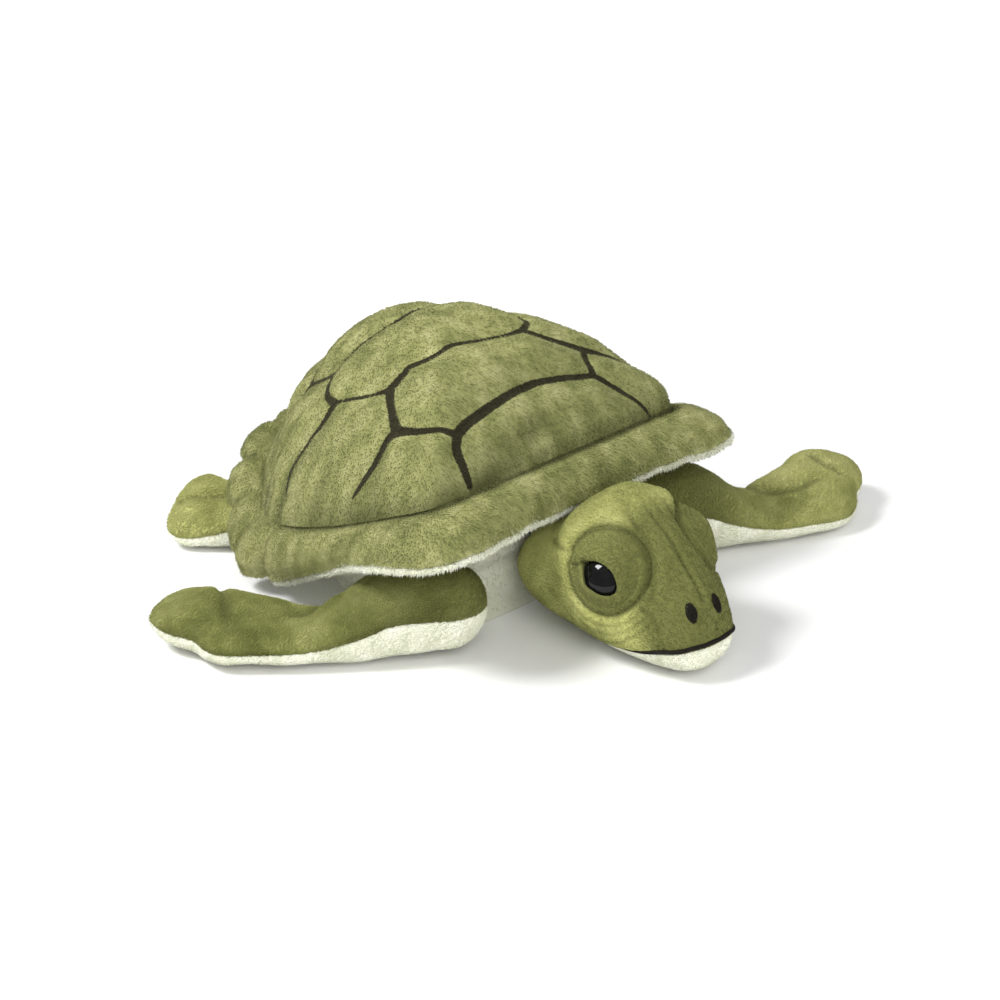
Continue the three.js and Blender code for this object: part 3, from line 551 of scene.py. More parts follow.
class MaterialNodes(Nodes):
    """The node tree of a new material, on the object's own coordinates."""

    def __init__(self, name: str) -> None:
        """Starts an empty material of that name."""
        self.material = bpy.data.materials.new(name)
        self.material.use_nodes = True
        super().__init__(self.material.node_tree)
        self.place = self.add("ShaderNodeTexCoord").outputs["Object"]

    def noise(self, size: float, detail: float, stretch: Optional[Colour] = None) -> Socket:
        """Noise whose lumps have a size in millimetres.

        Args:
            size: Size of a lump.
            detail: Levels of finer noise.
            stretch: Longer lumps along X, Y and Z, as multiples of the size.

        Returns:
            The noise's value.
        """
        source = self.place
        if stretch is not None:
            scale = [1 / share for share in stretch]
            source = self.add("ShaderNodeMapping", {"Vector": source, "Scale": scale}).outputs["Vector"]
        inputs = {"Vector": source, "Scale": 1 / (size * MM), "Detail": detail}
        return self.add("ShaderNodeTexNoise", inputs).outputs["Fac"]

    def ramp(self, source: Socket, stops: Sequence[tuple[float, Colour]]) -> Socket:
        """Colours picked by a value, from (place, colour) stops."""
        node = self.add("ShaderNodeValToRGB", {"Fac": source})
        elements = node.color_ramp.elements
        while len(elements) < len(stops):
            elements.new(0.5)
        for element, (place, colour) in zip(elements, stops):
            element.position = place
            element.color = (*colour, 1)
        return node.outputs["Color"]

    def mix(self, share: Socket, first: Socket, second: Colour) -> Socket:
        """Mixes a colour into another one."""
        inputs = {0: share, 6: first, 7: second}
        return self.add("ShaderNodeMix", inputs, data_type="RGBA").outputs[2]

    def mark(self, word: str) -> Socket:
        """A value that the mesh carries at its points."""
        return self.add("ShaderNodeAttribute", attribute_name=word).outputs["Fac"]

    def bump(self, height: Socket, depth: float, below: Optional[Socket] = None) -> Socket:
        """A bump of a depth in millimetres, over another bump if one is given."""
        inputs = {"Height": height, "Distance": depth * MM, "Strength": 1.0}
        if below is not None:
            inputs["Normal"] = below
        return self.add("ShaderNodeBump", inputs).outputs["Normal"]

    def surface(self, colour: Socket, roughness: float, normal: Socket,
                **others: object) -> bpy.types.Material:
        """Ends the material in one shader.

        Args:
            colour: The base colour.
            roughness: The shader's roughness.
            normal: A bump's output.
            **others: Other inputs by name, with _ for a space.

        Returns:
            The finished material.
        """
        inputs = {"Base Color": colour, "Roughness": roughness, "Normal": normal}
        inputs |= {word.replace("_", " "): value for word, value in others.items()}
        shader = self.add("ShaderNodeBsdfPrincipled", inputs)
        self.add("ShaderNodeOutputMaterial", {"Surface": shader.outputs["BSDF"]})
        return self.material


def scaled(colour: Colour, factor: float, added: float = 0.0) -> Colour:
    """A darker or lighter colour."""
    return tuple(min(1.0, factor * part + added) for part in colour)


@dataclass(frozen=True)
class Finish:
    """A named look."""

    name: str

    def material(self) -> bpy.types.Material:
        """Builds the material."""
        raise NotImplementedError


@dataclass(frozen=True)
class PlushFinish(Finish):
    """Short brushed pile: mottled by its nap, with a soft sheen.

    Attributes:
        deep: Colour where the pile leans away.
        middle: Colour of most of the pile.
        light: Colour where the pile catches the light.
        line: Colour of painted lines, where a piece has any.
        mottle: Size of the nap's patches, in millimetres.
        streak: Longer patches along X, Y and Z, as multiples.
        sheen: Weight of the sheen.
        grain: Weights of the broad patches, the fine ones, the hairs and each strand's own tone.
    """

    deep: Colour
    middle: Colour
    light: Colour
    line: Colour = (0.014, 0.011, 0.007)
    mottle: float = 11.0
    streak: tuple[float, float, float] = (1.0, 1.0, 1.6)
    sheen: float = 0.25
    grain: tuple[float, float, float, float] = (0.68, 0.2, 0.12, 0.06)

    def material(self) -> bpy.types.Material:
        """Builds the material."""
        nodes = MaterialNodes(self.name)
        layers = (nodes.noise(self.mottle, 1.5, self.streak), nodes.noise(self.mottle / 4, 2.0, self.streak),
                  nodes.noise(0.6, 2.0, HAIR_STRETCH), nodes.mark("strand"))
        nap = 0.0
        for layer, weight in zip(layers, self.grain):
            nap = nodes.math("ADD", nodes.math("MULTIPLY", layer, weight), nap)
        colour = nodes.ramp(nap, ((0.34, self.deep), (0.5, self.middle), (0.68, self.light)))
        # Painted shade: the shade mark darkens the colour towards a darker copy of the deep colour where
        # shade falls on the piece.
        colour = nodes.mix(nodes.mark("shade"), colour, scaled(self.deep, 0.6))
        # Painted shade in folds, seams and hollows: the fold mark darkens the colour further, towards a
        # quarter of the deep colour.
        fold = nodes.math("MULTIPLY", nodes.mark("fold"), 0.8)
        colour = nodes.mix(fold, colour, scaled(self.deep, 0.25))
        frayed = nodes.math("MULTIPLY", nodes.noise(1.1, 2.0), 0.3)
        painted = nodes.range(nodes.math("ADD", nodes.mark("line"), frayed), 0.52, 0.78, 0.0, 0.97)
        colour = nodes.mix(painted, colour, self.line)
        normal = nodes.bump(nodes.noise(2.8, 2.0, self.streak), 0.35)
        normal = nodes.bump(nodes.noise(0.5, 2.0, HAIR_STRETCH), 0.12, normal)
        return nodes.surface(colour, 0.95, normal, Sheen_Weight=self.sheen, Sheen_Roughness=0.5,
                             Sheen_Tint=scaled(self.light, 1.25, 0.1), Specular_IOR_Level=0.12)


@dataclass(frozen=True)
class ThreadFinish(Finish):
    """Embroidery thread, matt with a faint lustre along its strands."""

    colour: Colour

    def material(self) -> bpy.types.Material:
        """Builds the material."""
        nodes = MaterialNodes(self.name)
        strands = nodes.noise(0.35, 2.0, (1, 1, 4))
        colour = nodes.ramp(strands, ((0.35, self.colour), (0.75, scaled(self.colour, 2.2, 0.004))))
        return nodes.surface(colour, 0.8, nodes.bump(strands, 0.2), Sheen_Weight=0.02,
                             Specular_IOR_Level=0.12)


@dataclass(frozen=True)
class GlossFinish(Finish):
    """Polished moulded plastic with faint handling marks in its gloss."""

    colour: Colour
    roughness: float = 0.05
    coat: float = 1.0
    specular: float = 0.25

    def material(self) -> bpy.types.Material:
        """Builds the material."""
        nodes = MaterialNodes(self.name)
        haze = nodes.noise(3.0, 4.0)
        colour = nodes.ramp(haze, ((0.4, self.colour), (0.8, scaled(self.colour, 1.6, 0.002))))
        normal = nodes.bump(nodes.noise(6.0, 1.0), 0.02)
        return nodes.surface(colour, self.roughness, normal, Coat_Weight=self.coat, Coat_Roughness=0.03,
                             Specular_IOR_Level=self.specular)


@dataclass(frozen=True)
class FillingFinish(Finish):
    """Loose polyester fibre: white, cloudy, with fine strands."""

    colour: Colour

    def material(self) -> bpy.types.Material:
        """Builds the material."""
        nodes = MaterialNodes(self.name)
        strands = nodes.noise(1.2, 6.0)
        colour = nodes.ramp(strands, ((0.3, scaled(self.colour, 0.72)), (0.7, self.colour)))
        return nodes.surface(colour, 1.0, nodes.bump(strands, 1.2), Sheen_Weight=0.3, Specular_IOR_Level=0.1)


@dataclass(frozen=True)
class WovenFinish(Finish):
    """Plain woven cotton for the bag of pellets."""

    colour: Colour
    yarn: float = 0.7

    def material(self) -> bpy.types.Material:
        """Builds the material."""
        nodes = MaterialNodes(self.name)
        inputs = {"Vector": nodes.place, "Scale": 1 / (self.yarn * MM) / 6.3}
        warp, weft = (nodes.add("ShaderNodeTexWave", inputs, bands_direction=direction).outputs["Fac"]
                      for direction in ("X", "Y"))
        weave = nodes.math("MULTIPLY", warp, weft)
        colour = nodes.ramp(weave, ((0.1, scaled(self.colour, 0.6)), (0.7, self.colour)))
        return nodes.surface(colour, 0.9, nodes.bump(weave, 0.25), Sheen_Weight=0.1)


GREEN_SHELL = PlushFinish("shell green plush", (0.175, 0.188, 0.064), (0.265, 0.272, 0.104),
                          (0.39, 0.39, 0.18), mottle=8.0, streak=(1.1, 1.0, 3.2))
GREEN_HEAD = PlushFinish("head green plush", (0.245, 0.258, 0.078), (0.395, 0.405, 0.137),
                         (0.505, 0.51, 0.2), mottle=16.0, streak=(1.0, 1.0, 1.2), sheen=0.2)
# Lit and shaded copies of one flipper green: the darker copy paints shade on the right front flipper, the
# lighter one paints light on the other flippers.
GREEN_LIMB_SHADED = PlushFinish("flipper green plush", (0.14, 0.152, 0.042), (0.225, 0.237, 0.071),
                         (0.34, 0.35, 0.128), mottle=13.0, streak=(1.4, 1.4, 1.0), sheen=0.2)
GREEN_LIMB_LIT = PlushFinish("light flipper green plush", (0.26, 0.272, 0.082), (0.40, 0.41, 0.145),
                        (0.52, 0.52, 0.215), mottle=13.0, streak=(1.4, 1.4, 1.0), sheen=0.2)
CREAM = PlushFinish("cream plush", (0.74, 0.755, 0.58), (0.86, 0.87, 0.71), (0.93, 0.935, 0.81),
                    mottle=9.0, sheen=0.15)
THREAD = ThreadFinish("dark thread", (0.007, 0.006, 0.004))
EYE_BLACK = GlossFinish("eye black", (0.003, 0.003, 0.003), coat=0.4, specular=0.08)
NYLON = GlossFinish("washer nylon", (0.72, 0.72, 0.70), 0.35, 0.1)
FIBRE = FillingFinish("fibre filling", (0.86, 0.86, 0.84))
POUCH_CLOTH = WovenFinish("pouch cotton", (0.62, 0.57, 0.42))


# Pile


@dataclass(frozen=True)
class Pile:
    """Short fibres standing on a piece of plush.

    Attributes:
        count: How many fibre tufts the piece gets.
        length: A tuft's length, in millimetres.
        width: A tuft's width at its root, in millimetres.
        lean: Direction in which the nap is brushed.
        stand: How upright the tufts stand, from 0, flat, upwards.
        seed: Seed of their places.
    """

    count: int
    length: float = 1.3
    width: float = 0.26
    lean: tuple[float, float, float] = (0.0, 0.5, -0.85)
    stand: float = 0.75
    seed: int = 1

    def grow(self, piece: bpy.types.Object, name: str, material: bpy.types.Material) -> bpy.types.Object:
        """Grows the pile on a piece.

        Args:
            piece: The piece of plush, with a mark "pile" where it grows.
            name: The name of the new piece.
            material: The pile's material.

        Returns:
            The pile as a plain mesh piece.
        """
        holder = linked(name, piece.data)
        modifier = holder.modifiers.new("pile", "NODES")
        modifier.node_group = pile_tree()
        values = {
            "Density": self.count / self._area(piece),
            "Length": self.length * MM,
            "Width": self.width * MM,
            "Lean": self.lean,
            "Stand": self.stand,
            "Seed": self.seed,
            "Material": material,
        }
        for item in modifier.node_group.interface.items_tree:
            if item.item_type == "SOCKET" and item.in_out == "INPUT" and item.name in values:
                modifier[item.identifier] = values[item.name]
        made = plain(holder, name)
        if not made.data.materials:
            made.data.materials.append(material)
        return made

    @staticmethod
    def _area(piece: bpy.types.Object) -> float:
        """Area of the faces on which the pile may grow, in square metres."""
        mesh = piece.data
        areas = np.zeros(len(mesh.polygons))
        mesh.polygons.foreach_get("area", areas)
        shares = np.zeros(len(mesh.vertices), np.float32)
        mesh.attributes["pile"].data.foreach_get("value", shares)
        means = np.array([shares[list(polygon.vertices)].mean() for polygon in mesh.polygons])
        return float((areas * means).sum())


def pile_tree() -> bpy.types.NodeTree:
    """The node tree that scatters tufts over a mesh, made once."""
    found = bpy.data.node_groups.get("plush pile")
    if found:
        return found
    tree = bpy.data.node_groups.new("plush pile", "GeometryNodeTree")
    given_sockets = (("Geometry", "Geometry"), ("Density", "Float"), ("Length", "Float"), ("Width", "Float"),
                     ("Lean", "Vector"), ("Stand", "Float"), ("Seed", "Int"), ("Material", "Material"))
    for word, kind in given_sockets:
        tree.interface.new_socket(word, in_out="INPUT", socket_type=f"NodeSocket{kind}")
    tree.interface.new_socket("Geometry", in_out="OUTPUT", socket_type="NodeSocketGeometry")
    nodes = Nodes(tree)
    given = nodes.add("NodeGroupInput").outputs
    seed = given["Seed"]
    allowed = nodes.add("GeometryNodeInputNamedAttribute", {"Name": "pile"}, data_type="FLOAT")
    density = nodes.math("MULTIPLY", given["Density"], allowed.outputs["Attribute"])
    places = {"Mesh": given["Geometry"], "Density": density, "Seed": seed}
    scatter = nodes.add("GeometryNodeDistributePointsOnFaces", places, distribute_method="RANDOM").outputs

    swirl = nodes.add("ShaderNodeTexNoise", {"Scale": 70.0}, noise_dimensions="3D").outputs["Color"]
    swirl = nodes.vector("SCALE", nodes.vector("SUBTRACT", swirl, (0.5, 0.5, 0.5)), 0.7)
    nap = nodes.vector("ADD", given["Lean"], swirl)
    flat = nodes.vector("PROJECT", nap, scatter["Normal"])
    level = nodes.vector("NORMALIZE", nodes.vector("SUBTRACT", nap, flat))
    leaning = nodes.vector("ADD", level, nodes.vector("SCALE", scatter["Normal"], given["Stand"]))
    spread = {"Min": (-0.24, -0.24, -0.24), "Max": (0.24, 0.24, 0.24), "Seed": seed}
    stray = nodes.add("FunctionNodeRandomValue", spread, data_type="FLOAT_VECTOR").outputs[0]
    way = nodes.vector("ADD", leaning, stray)
    turn = nodes.add("FunctionNodeAlignRotationToVector", {"Vector": way}, axis="Z")

    cone = {"Vertices": 3, "Radius Top": 0.0, "Radius Bottom": given["Width"], "Depth": given["Length"]}
    tuft = nodes.add("GeometryNodeMeshCone", cone, fill_type="NGON")
    size = nodes.add("FunctionNodeRandomValue", {2: 0.55, 3: 1.15}, data_type="FLOAT")
    planted = {"Points": scatter["Points"], "Instance": tuft.outputs["Mesh"],
               "Rotation": turn.outputs["Rotation"], "Scale": size.outputs[1]}
    tufts = nodes.add("GeometryNodeInstanceOnPoints", planted)
    tone = nodes.add("FunctionNodeRandomValue", {2: -0.5, 3: 0.5, "Seed": 7}, data_type="FLOAT")
    strand = {"Name": "strand", "Geometry": tufts.outputs["Instances"], "Value": tone.outputs[1]}
    stored = nodes.add("GeometryNodeStoreNamedAttribute", strand, data_type="FLOAT", domain="INSTANCE")
    form = stored.outputs["Geometry"]
    for kind in ("GeometryNodeRealizeInstances", "GeometryNodeSetShadeSmooth"):
        form = nodes.add(kind, {"Geometry": form}).outputs["Geometry"]
    paint = nodes.add("GeometryNodeSetMaterial", {"Geometry": form, "Material": given["Material"]})
    nodes.add("NodeGroupOutput", {"Geometry": paint.outputs["Geometry"]})
    return tree


class Workshop:
    """What every sub-assembly needs: the materials, and how pieces join the frame."""

    def __init__(self) -> None:
        """Starts without a material."""
        self._made: dict[str, bpy.types.Material] = {}

    def dress(self, piece: bpy.types.Object, finish: Finish) -> bpy.types.Material:
        """Gives a piece its finish, whose material is built once."""
        if finish.name not in self._made:
            self._made[finish.name] = finish.material()
        piece.data.materials.clear()
        piece.data.materials.append(self._made[finish.name])
        return self._made[finish.name]

    def finish(self, piece: bpy.types.Object, finish: Finish, body: str, slot: str,
               stands_for: Sequence[str] = (), fill: Optional[float] = None,
               pile: Optional[Pile] = None) -> bpy.types.Object:
        """Dresses a piece and gives it its place in the frame.

        Args:
            piece: The finished mesh piece.
            finish: Its finish.
            body: The body it rides on.
            slot: The record's material slot; not used.
            stands_for: Nodes that it replaces.
            fill: How full it is, if it is padded; not used.
            pile: The fibres on it, if any.

        Returns:
            The piece.
        """
        material = self.dress(piece, finish)
        if pile is not None:
            fibres = pile.grow(piece, f"{piece.name}_pile", material)
            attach(fibres, body)
            triangles = sum(len(polygon.vertices) - 2 for polygon in fibres.data.polygons)
            LOG.info("%s: %d triangles of pile", fibres.name, triangles)
        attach(piece, body)
        if stands_for:
            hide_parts(*stands_for)
        LOG.info("%s: %d faces on %s", piece.name, len(piece.data.polygons), body)
        return piece


# Shell


@dataclass
class Shell:
    """The stuffed dome, its free rim and the belly under it."""

    half_width: float = 73.0
    half_length: float = 70.0
    centre_y: float = 28.0
    front_height: float = 64.0
    crown_height: float = 104.0
    crown_y: float = 24.0
    front_fullness: float = 0.7
    rear_fullness: float = 0.72
    cloth: float = 1.3
    around: int = 432
    rows: int = 140
    base_shares: tuple = (
        (0, -0.993, 1), (0.34, -0.993, 1), (0.66, -0.97, 0.985), (0.9, -0.91, 0.95),
        (0.985, -0.7, 0.86), (1, -0.4, 0.72), (1, -0.086, 0.594), (0.945, 0.229, 0.492),
        (0.822, 0.486, 0.438), (0.644, 0.686, 0.461), (0.411, 0.871, 0.531), (0.137, 0.971, 0.586),
    )
    rim_width: float = 18.0
    rim_spread_shares: tuple = (0.64, 0.68, 0.9, 1.2, 0.95, 0.5, 0.35, 0.33, 0.5, 0.62, 0.7, 0.72)
    rim_drop_shares: tuple = (0.78, 0.72, 0.6, 0.48, 0.56, 0.72, 0.97, 1.2, 1.05, 0.58, 0.14, 0.02)
    rim_thickness: float = 2.6
    lining_thickness: float = 1.2
    scallop_depth: float = 4.5
    first_scallop: int = 7
    belly_width_share: float = 0.67
    belly_front_share: float = 0.73
    belly_rear_share: float = 0.65
    belly_draw_in: float = 2.5
    belly_centre_y: float = 10.0
    # The sewn edges and the lie of the nap
    hem_draw: float = 0.8
    gather_depth: float = 2.0
    dent_depth: float = 2.6
    deepest: float = 3.6
    crease_height: float = 25.0
    nap: tuple = (0.0, 0.25, -0.95)

    # Painted lines between the scutes, as turn round the base from its front, share of the way
    # from crown to base, and half width
    lines: tuple = (
        ((0.100, 0.82, 1.9), (0.086, 0.79, 2.0), (0.059, 0.76, 1.9), (0.014, 0.73, 1.7), (-0.030, 0.75, 1.4),
         (-0.067, 0.80, 1.3)),
        ((0.100, 0.82, 1.9), (0.102, 0.86, 1.9), (0.097, 0.94, 1.7), (0.092, 0.99, 1.2)),
        ((0.100, 0.82, 1.8), (0.129, 0.77, 1.2), (0.164, 0.77, 1.5), (0.186, 0.77, 2.4)),
        ((0.186, 0.77, 2.4), (0.198, 0.81, 1.8), (0.208, 0.89, 1.5), (0.214, 0.93, 1.2), (0.220, 0.96, 0.5)),
        ((0.186, 0.77, 2.4), (0.207, 0.67, 1.7), (0.220, 0.59, 2.1)),
        ((0.220, 0.59, 2.0), (0.207, 0.51, 1.7), (0.187, 0.44, 1.3), (0.102, 0.34, 1.1), (0.039, 0.35, 0.9),
         (-0.021, 0.39, 0.8), (-0.074, 0.41, 1.3)),
        ((0.220, 0.59, 1.6), (0.249, 0.63, 0.8), (0.283, 0.67, 0.9), (0.295, 0.69, 1.8)),
        ((0.295, 0.69, 1.8), (0.298, 0.76, 1.4), (0.307, 0.83, 1.1), (0.310, 0.90, 1.0), (0.306, 0.94, 0.8),
         (0.299, 0.97, 0.4)),
        ((0.295, 0.69, 1.8), (0.332, 0.67, 1.4), (0.354, 0.61, 1.1), (0.364, 0.52, 0.9), (0.378, 0.35, 1.0),
         (0.441, 0.20, 1.3), (0.577, 0.19, 1.3), (0.666, 0.34, 1.2), (0.703, 0.46, 1.5)),
        ((0.354, 0.61, 1.1), (0.387, 0.69, 1.0), (0.406, 0.75, 1.4)),
        ((-0.067, 0.80, 1.5), (-0.079, 0.73, 1.4), (-0.098, 0.66, 1.7)),
        ((-0.098, 0.66, 1.7), (-0.087, 0.55, 1.5), (-0.074, 0.41, 1.4)),
        ((-0.067, 0.80, 1.3), (-0.074, 0.89, 1.2), (-0.081, 0.96, 1.0), (-0.087, 1.0, 0.6)),
        ((-0.098, 0.66, 1.7), (-0.119, 0.75, 1.2), (-0.146, 0.86, 1.1), (-0.163, 0.96, 0.5)),
        ((-0.074, 0.41, 1.4), (-0.194, 0.33, 1.3), (-0.297, 0.46, 1.6)),
        ((-0.297, 0.46, 1.6), (-0.280, 0.62, 1.3), (-0.269, 0.76, 1.2), (-0.260, 0.90, 0.6)),
        ((-0.297, 0.46, 1.4), (-0.336, 0.54, 1.2), (-0.376, 0.64, 1.2), (-0.406, 0.75, 1.4)),
        ((0.406, 0.75, 1.4), (0.447, 0.70, 1.0), (0.500, 0.67, 1.1), (0.553, 0.70, 1.0), (0.594, 0.75, 1.4)),
        ((0.406, 0.75, 1.4), (0.407, 0.86, 1.1), (0.410, 0.94, 0.5)),
        ((0.594, 0.75, 1.4), (0.593, 0.86, 1.1), (0.590, 0.94, 0.5)),
        ((0.500, 0.67, 1.2), (0.500, 0.82, 1.0), (0.500, 0.94, 0.5)),
    )
    # Hollow above the hem at the front, given in the same way
    front_dent: tuple = ((0.076, 1.0, 7.0), (0.063, 0.97, 7.0), (0.043, 0.94, 7.0), (0.015, 0.91, 5.0))
    scute_dip: float = 2.2
    scute_reach: float = 12.0

    def base_curve(self) -> Array:
        """Points of the dome's base loop, starting at the middle of its front."""
        rows = np.array(self.base_shares, float)
        half = np.stack([-rows[:, 0] * self.half_width, self.centre_y + rows[:, 1] * self.half_length,
                         rows[:, 2] * self.front_height], 1)
        return mirrored_loop(half)

    @staticmethod
    def turns(count: int) -> Array:
        """Turns round the base, from its front, as they come in a loop that runs left first."""
        return (-np.arange(count) / count) % 1

    def base_loop(self, count: int) -> Array:
        """The base loop as so many points."""
        return catmull(self.base_curve(), self.turns(count), True)

    def stations(self, count: int) -> tuple[Array, Array]:
        """Stations from the front at each point of the base loop, and the share within its stretch."""
        stretches = 2 * len(self.base_shares) - 1
        position = self.turns(count) * stretches
        return np.minimum(position, stretches - position), position - np.floor(position)

    def outwards(self, loop: Array) -> Array:
        """Level outward direction at each point of a loop."""
        along = np.roll(loop, -1, 0) - np.roll(loop, 1, 0)
        outward = unit(np.stack([along[:, 1], -along[:, 0], np.zeros(len(loop))], 1))
        away = loop - np.array([0, self.centre_y, 0])
        sign = np.sign((outward[:, :2] * away[:, :2]).sum(1))
        return outward * sign[:, None]

    def over(self, base: Array, share: Array) -> Array:
        """Points of the dome over points of its base, at those shares of the way from crown to base."""
        crown = np.array([0.0, self.crown_y, self.crown_height])
        rearward = (base[..., 1] - self.centre_y + self.half_length) / (2 * self.half_length)
        fullness = self.front_fullness + (self.rear_fullness - self.front_fullness) * rearward
        rise = (1 - share**2) ** fullness
        level = crown[:2] + (base[..., :2] - crown[:2]) * share[..., None]
        height = base[..., 2] + (crown[2] - base[..., 2]) * rise
        return np.concatenate([level, height[..., None]], -1)

    def stroke(self, line: Sequence[Sequence[float]]) -> Stroke:
        """A line of turns and shares, laid on the dome."""
        rows = np.array(line, float)
        rows = catmull(rows, np.linspace(0, 1, 6 * len(rows)), False)
        base = catmull(self.base_curve(), rows[:, 0] % 1, True)
        points = self.over(base, np.clip(rows[:, 1], 0, 1))
        return Stroke(tuple(map(tuple, np.hstack([points, rows[:, 2:]]))))

    def dome(self) -> Skin:
        """The dome's cloth: scutes puffed between their painted lines, pleats above the hem, and painted
        shade in its folds, hollows and low parts.
        """
        base = self.base_loop(self.around)
        shares = np.cos(np.linspace(0, math.pi / 2 * 0.985, self.rows))[:, None]
        points = self.over(base[None], shares)
        skin = Skin(points)
        gaps, depths = nearest(points, [self.stroke(line) for line in self.lines])
        dent_gap, _ = self.stroke(self.front_dent).reach(points)
        from_front, within = self.stations(self.around)
        rear = smoothstep(4.5, 7.5, from_front)
        low = smoothstep(0.6, 1.0, shares)
        hem = smoothstep(0.955, 1.0, shares) * np.ones_like(gaps)

        near_line = 1 - smoothstep(0.0, self.scute_reach, gaps)
        dips = self.scute_dip * near_line * np.clip((1 - shares) / 0.08, 0, 1)
        grooves = 0.5 * bell(gaps, 2.2)
        turn = np.arctan2(points[..., 1] - self.crown_y, points[..., 0])
        pleat_place = np.stack([turn * 62, np.zeros_like(turn), points[..., 2] / 7 + 3 * np.sin(turn)], -1)
        pleats = noise_at(pleat_place, (5.2, 1, 4.2), 3.0)
        gather = low * bell(np.minimum(within, 1 - within) * 21, 2.4) * rear
        lumps = noise_at(points, (26, 26, 20), 11.0)
        small = noise_at(points, (9, 9, 7), 23.0)
        swell = lumps * 1.1 + small * 0.3 + low * (pleats * (0.6 + 1.5 * rear) - self.gather_depth * gather)
        swell = swell - dips - grooves - self.dent_depth * bell(dent_gap, 6.5)
        swell = swell * (1 - 0.7 * hem) - self.hem_draw * hem * (1 - 0.7 * rear)
        skin.swell(np.maximum(swell, -self.deepest + 2.4 * smoothstep(0.8, 0.97, shares)))
        skin.end = np.array([0, self.crown_y, skin.points[-1, :, 2].max() + 0.05])

        # Painted shade: in the folds along the hem, the front dent, the gathers and the pleats' valleys, and
        # darker low on the dome, less so at its rear, and in the hollows between lumps.
        fold = 0.5 * hem * (1 - 0.85 * rear) + 0.45 * bell(dent_gap, 5)
        shade = 0.3 * low * (1 - 0.5 * rear) + 0.2 * smoothstep(0.0, 0.6, -lumps)
        skin.marks = {"fold": np.clip(fold + low * (0.6 * gather - 0.34 * pleats), 0, 1),
                      "line": np.clip(0.58 + depths / 2, 0, 1),
                      "shade": np.clip(shade, 0, 1),
                      "pile": np.ones_like(gaps)}
        return skin

    def rim_loops(self, count: int) -> tuple[Array, Array, Array, Array]:
        """Sewn edge of the rim, its free edge, its share in the rear scallops and the place within one."""
        sewn = self.base_loop(count)
        outward = self.outwards(sewn)
        halves = np.stack([np.zeros(12), self.rim_spread_shares, self.rim_drop_shares], 1)
        table = catmull(mirrored_loop(halves), self.turns(count), True)
        from_front, within = self.stations(count)
        rear = smoothstep(self.first_scallop - 0.5, self.first_scallop + 0.5, from_front)
        bulge = rear * (self.scallop_depth + 1.5) * np.sin(within * math.pi) ** 0.6 - 1.5 * rear
        corner = 2.0 * bell(from_front - 3.1, 0.3)
        spread = table[:, 1] * self.rim_width + bulge + corner
        free = sewn + outward * spread[:, None] - UP * (table[:, 2] * self.rim_width)[:, None]
        return sewn, free, rear, within

    def rim(self, count: int = 552, across: int = 24) -> tuple[Skin, Skin]:
        """The rim's green upper layer and its cream lining.

        Args:
            count: Points round the rim.
            across: Points from its sewn edge to its free edge.

        Returns:
            The upper layer and the lining, both as closed rings of cloth.
        """
        sewn, free, rear, within = self.rim_loops(count)
        way = free - sewn
        along = np.roll(free, -1, 0) - np.roll(free, 1, 0)
        facing = unit(np.cross(way, along))
        facing = facing * np.sign(facing[:, 2])[:, None]
        wave = noise_at(sewn, (13, 13, 13), 5.0) + 0.6 * noise_at(sewn, (5, 5, 5), 9.0)
        lobe = np.sin(within * math.pi) * rear
        pinch = bell(np.minimum(within, 1 - within), 0.12) * rear
        place = np.linspace(-0.08, 1, across)[:, None]
        out = np.maximum(place, 0)

        arch = 2.4 * np.sin(math.pi * np.minimum(1, out * 1.05))
        tuck = 1.7 * bell(place, 0.1) * (1 - 0.5 * rear)
        ripple = wave * (0.5 + 1.5 * out) * (0.6 + 0.4 * rear)
        roll = (1.6 + 2.6 * lobe) * np.maximum(0, place - 0.8) / 0.2
        lift = arch - tuck + ripple + out * (2.0 * lobe - 2.4 * pinch) - roll
        reach = place - 0.02 * wave * out - 0.05 * pinch * out
        face = sewn + way * reach[..., None] + facing * lift[..., None]
        face = face + facing * (noise_at(face, (6, 6, 6), 31.0) * 0.7 * out)[..., None]
        thick = self.rim_thickness * np.linspace(1, 0.55, across)[:, None]
        upper = self._ring(face, face - facing * thick[..., None], 0.55)

        beyond = unit(way) * ((1.1 - 1.6 * rear) * out**4)[..., None]
        sunk = thick + 0.15 + 2.0 * bell(place + 0.08, 0.14)
        under = face + beyond - facing * sunk[..., None]
        lining = self._ring(under, under - facing * self.lining_thickness, 0.5)

        fold, pile, edge = (np.zeros(upper.points.shape[:2]) for _ in range(3))
        # Painted shade along the sewn hem, in the pinches between the rear scallops and in the ripples'
        # troughs.
        hem = 0.8 * bell(place, 0.09) * (1 - 0.8 * rear)
        fold[:across] = np.clip(hem + 0.55 * pinch * out - 0.22 * wave * out, 0, 1)
        pile[:across + 3] = 1
        edge[across - 3:across + 6] = 1 - rear
        upper.marks = {"fold": fold[::-1], "pile": pile[::-1]}
        lining.marks = {"pile": edge[::-1]}
        return upper, lining

    @staticmethod
    def _ring(upper: Array, lower: Array, bulge: float) -> Skin:
        """Closed ring of cloth from an upper and a lower face, with a rounded free edge."""
        outward = unit(upper[-1] - upper[-2])
        share = np.array([0.25, 0.5, 0.75])[:, None, None]
        edge = upper[-1] + (lower[-1] - upper[-1]) * share + outward * np.sin(share * math.pi) * bulge
        return Skin(np.concatenate([upper, edge, lower[::-1]])[::-1])

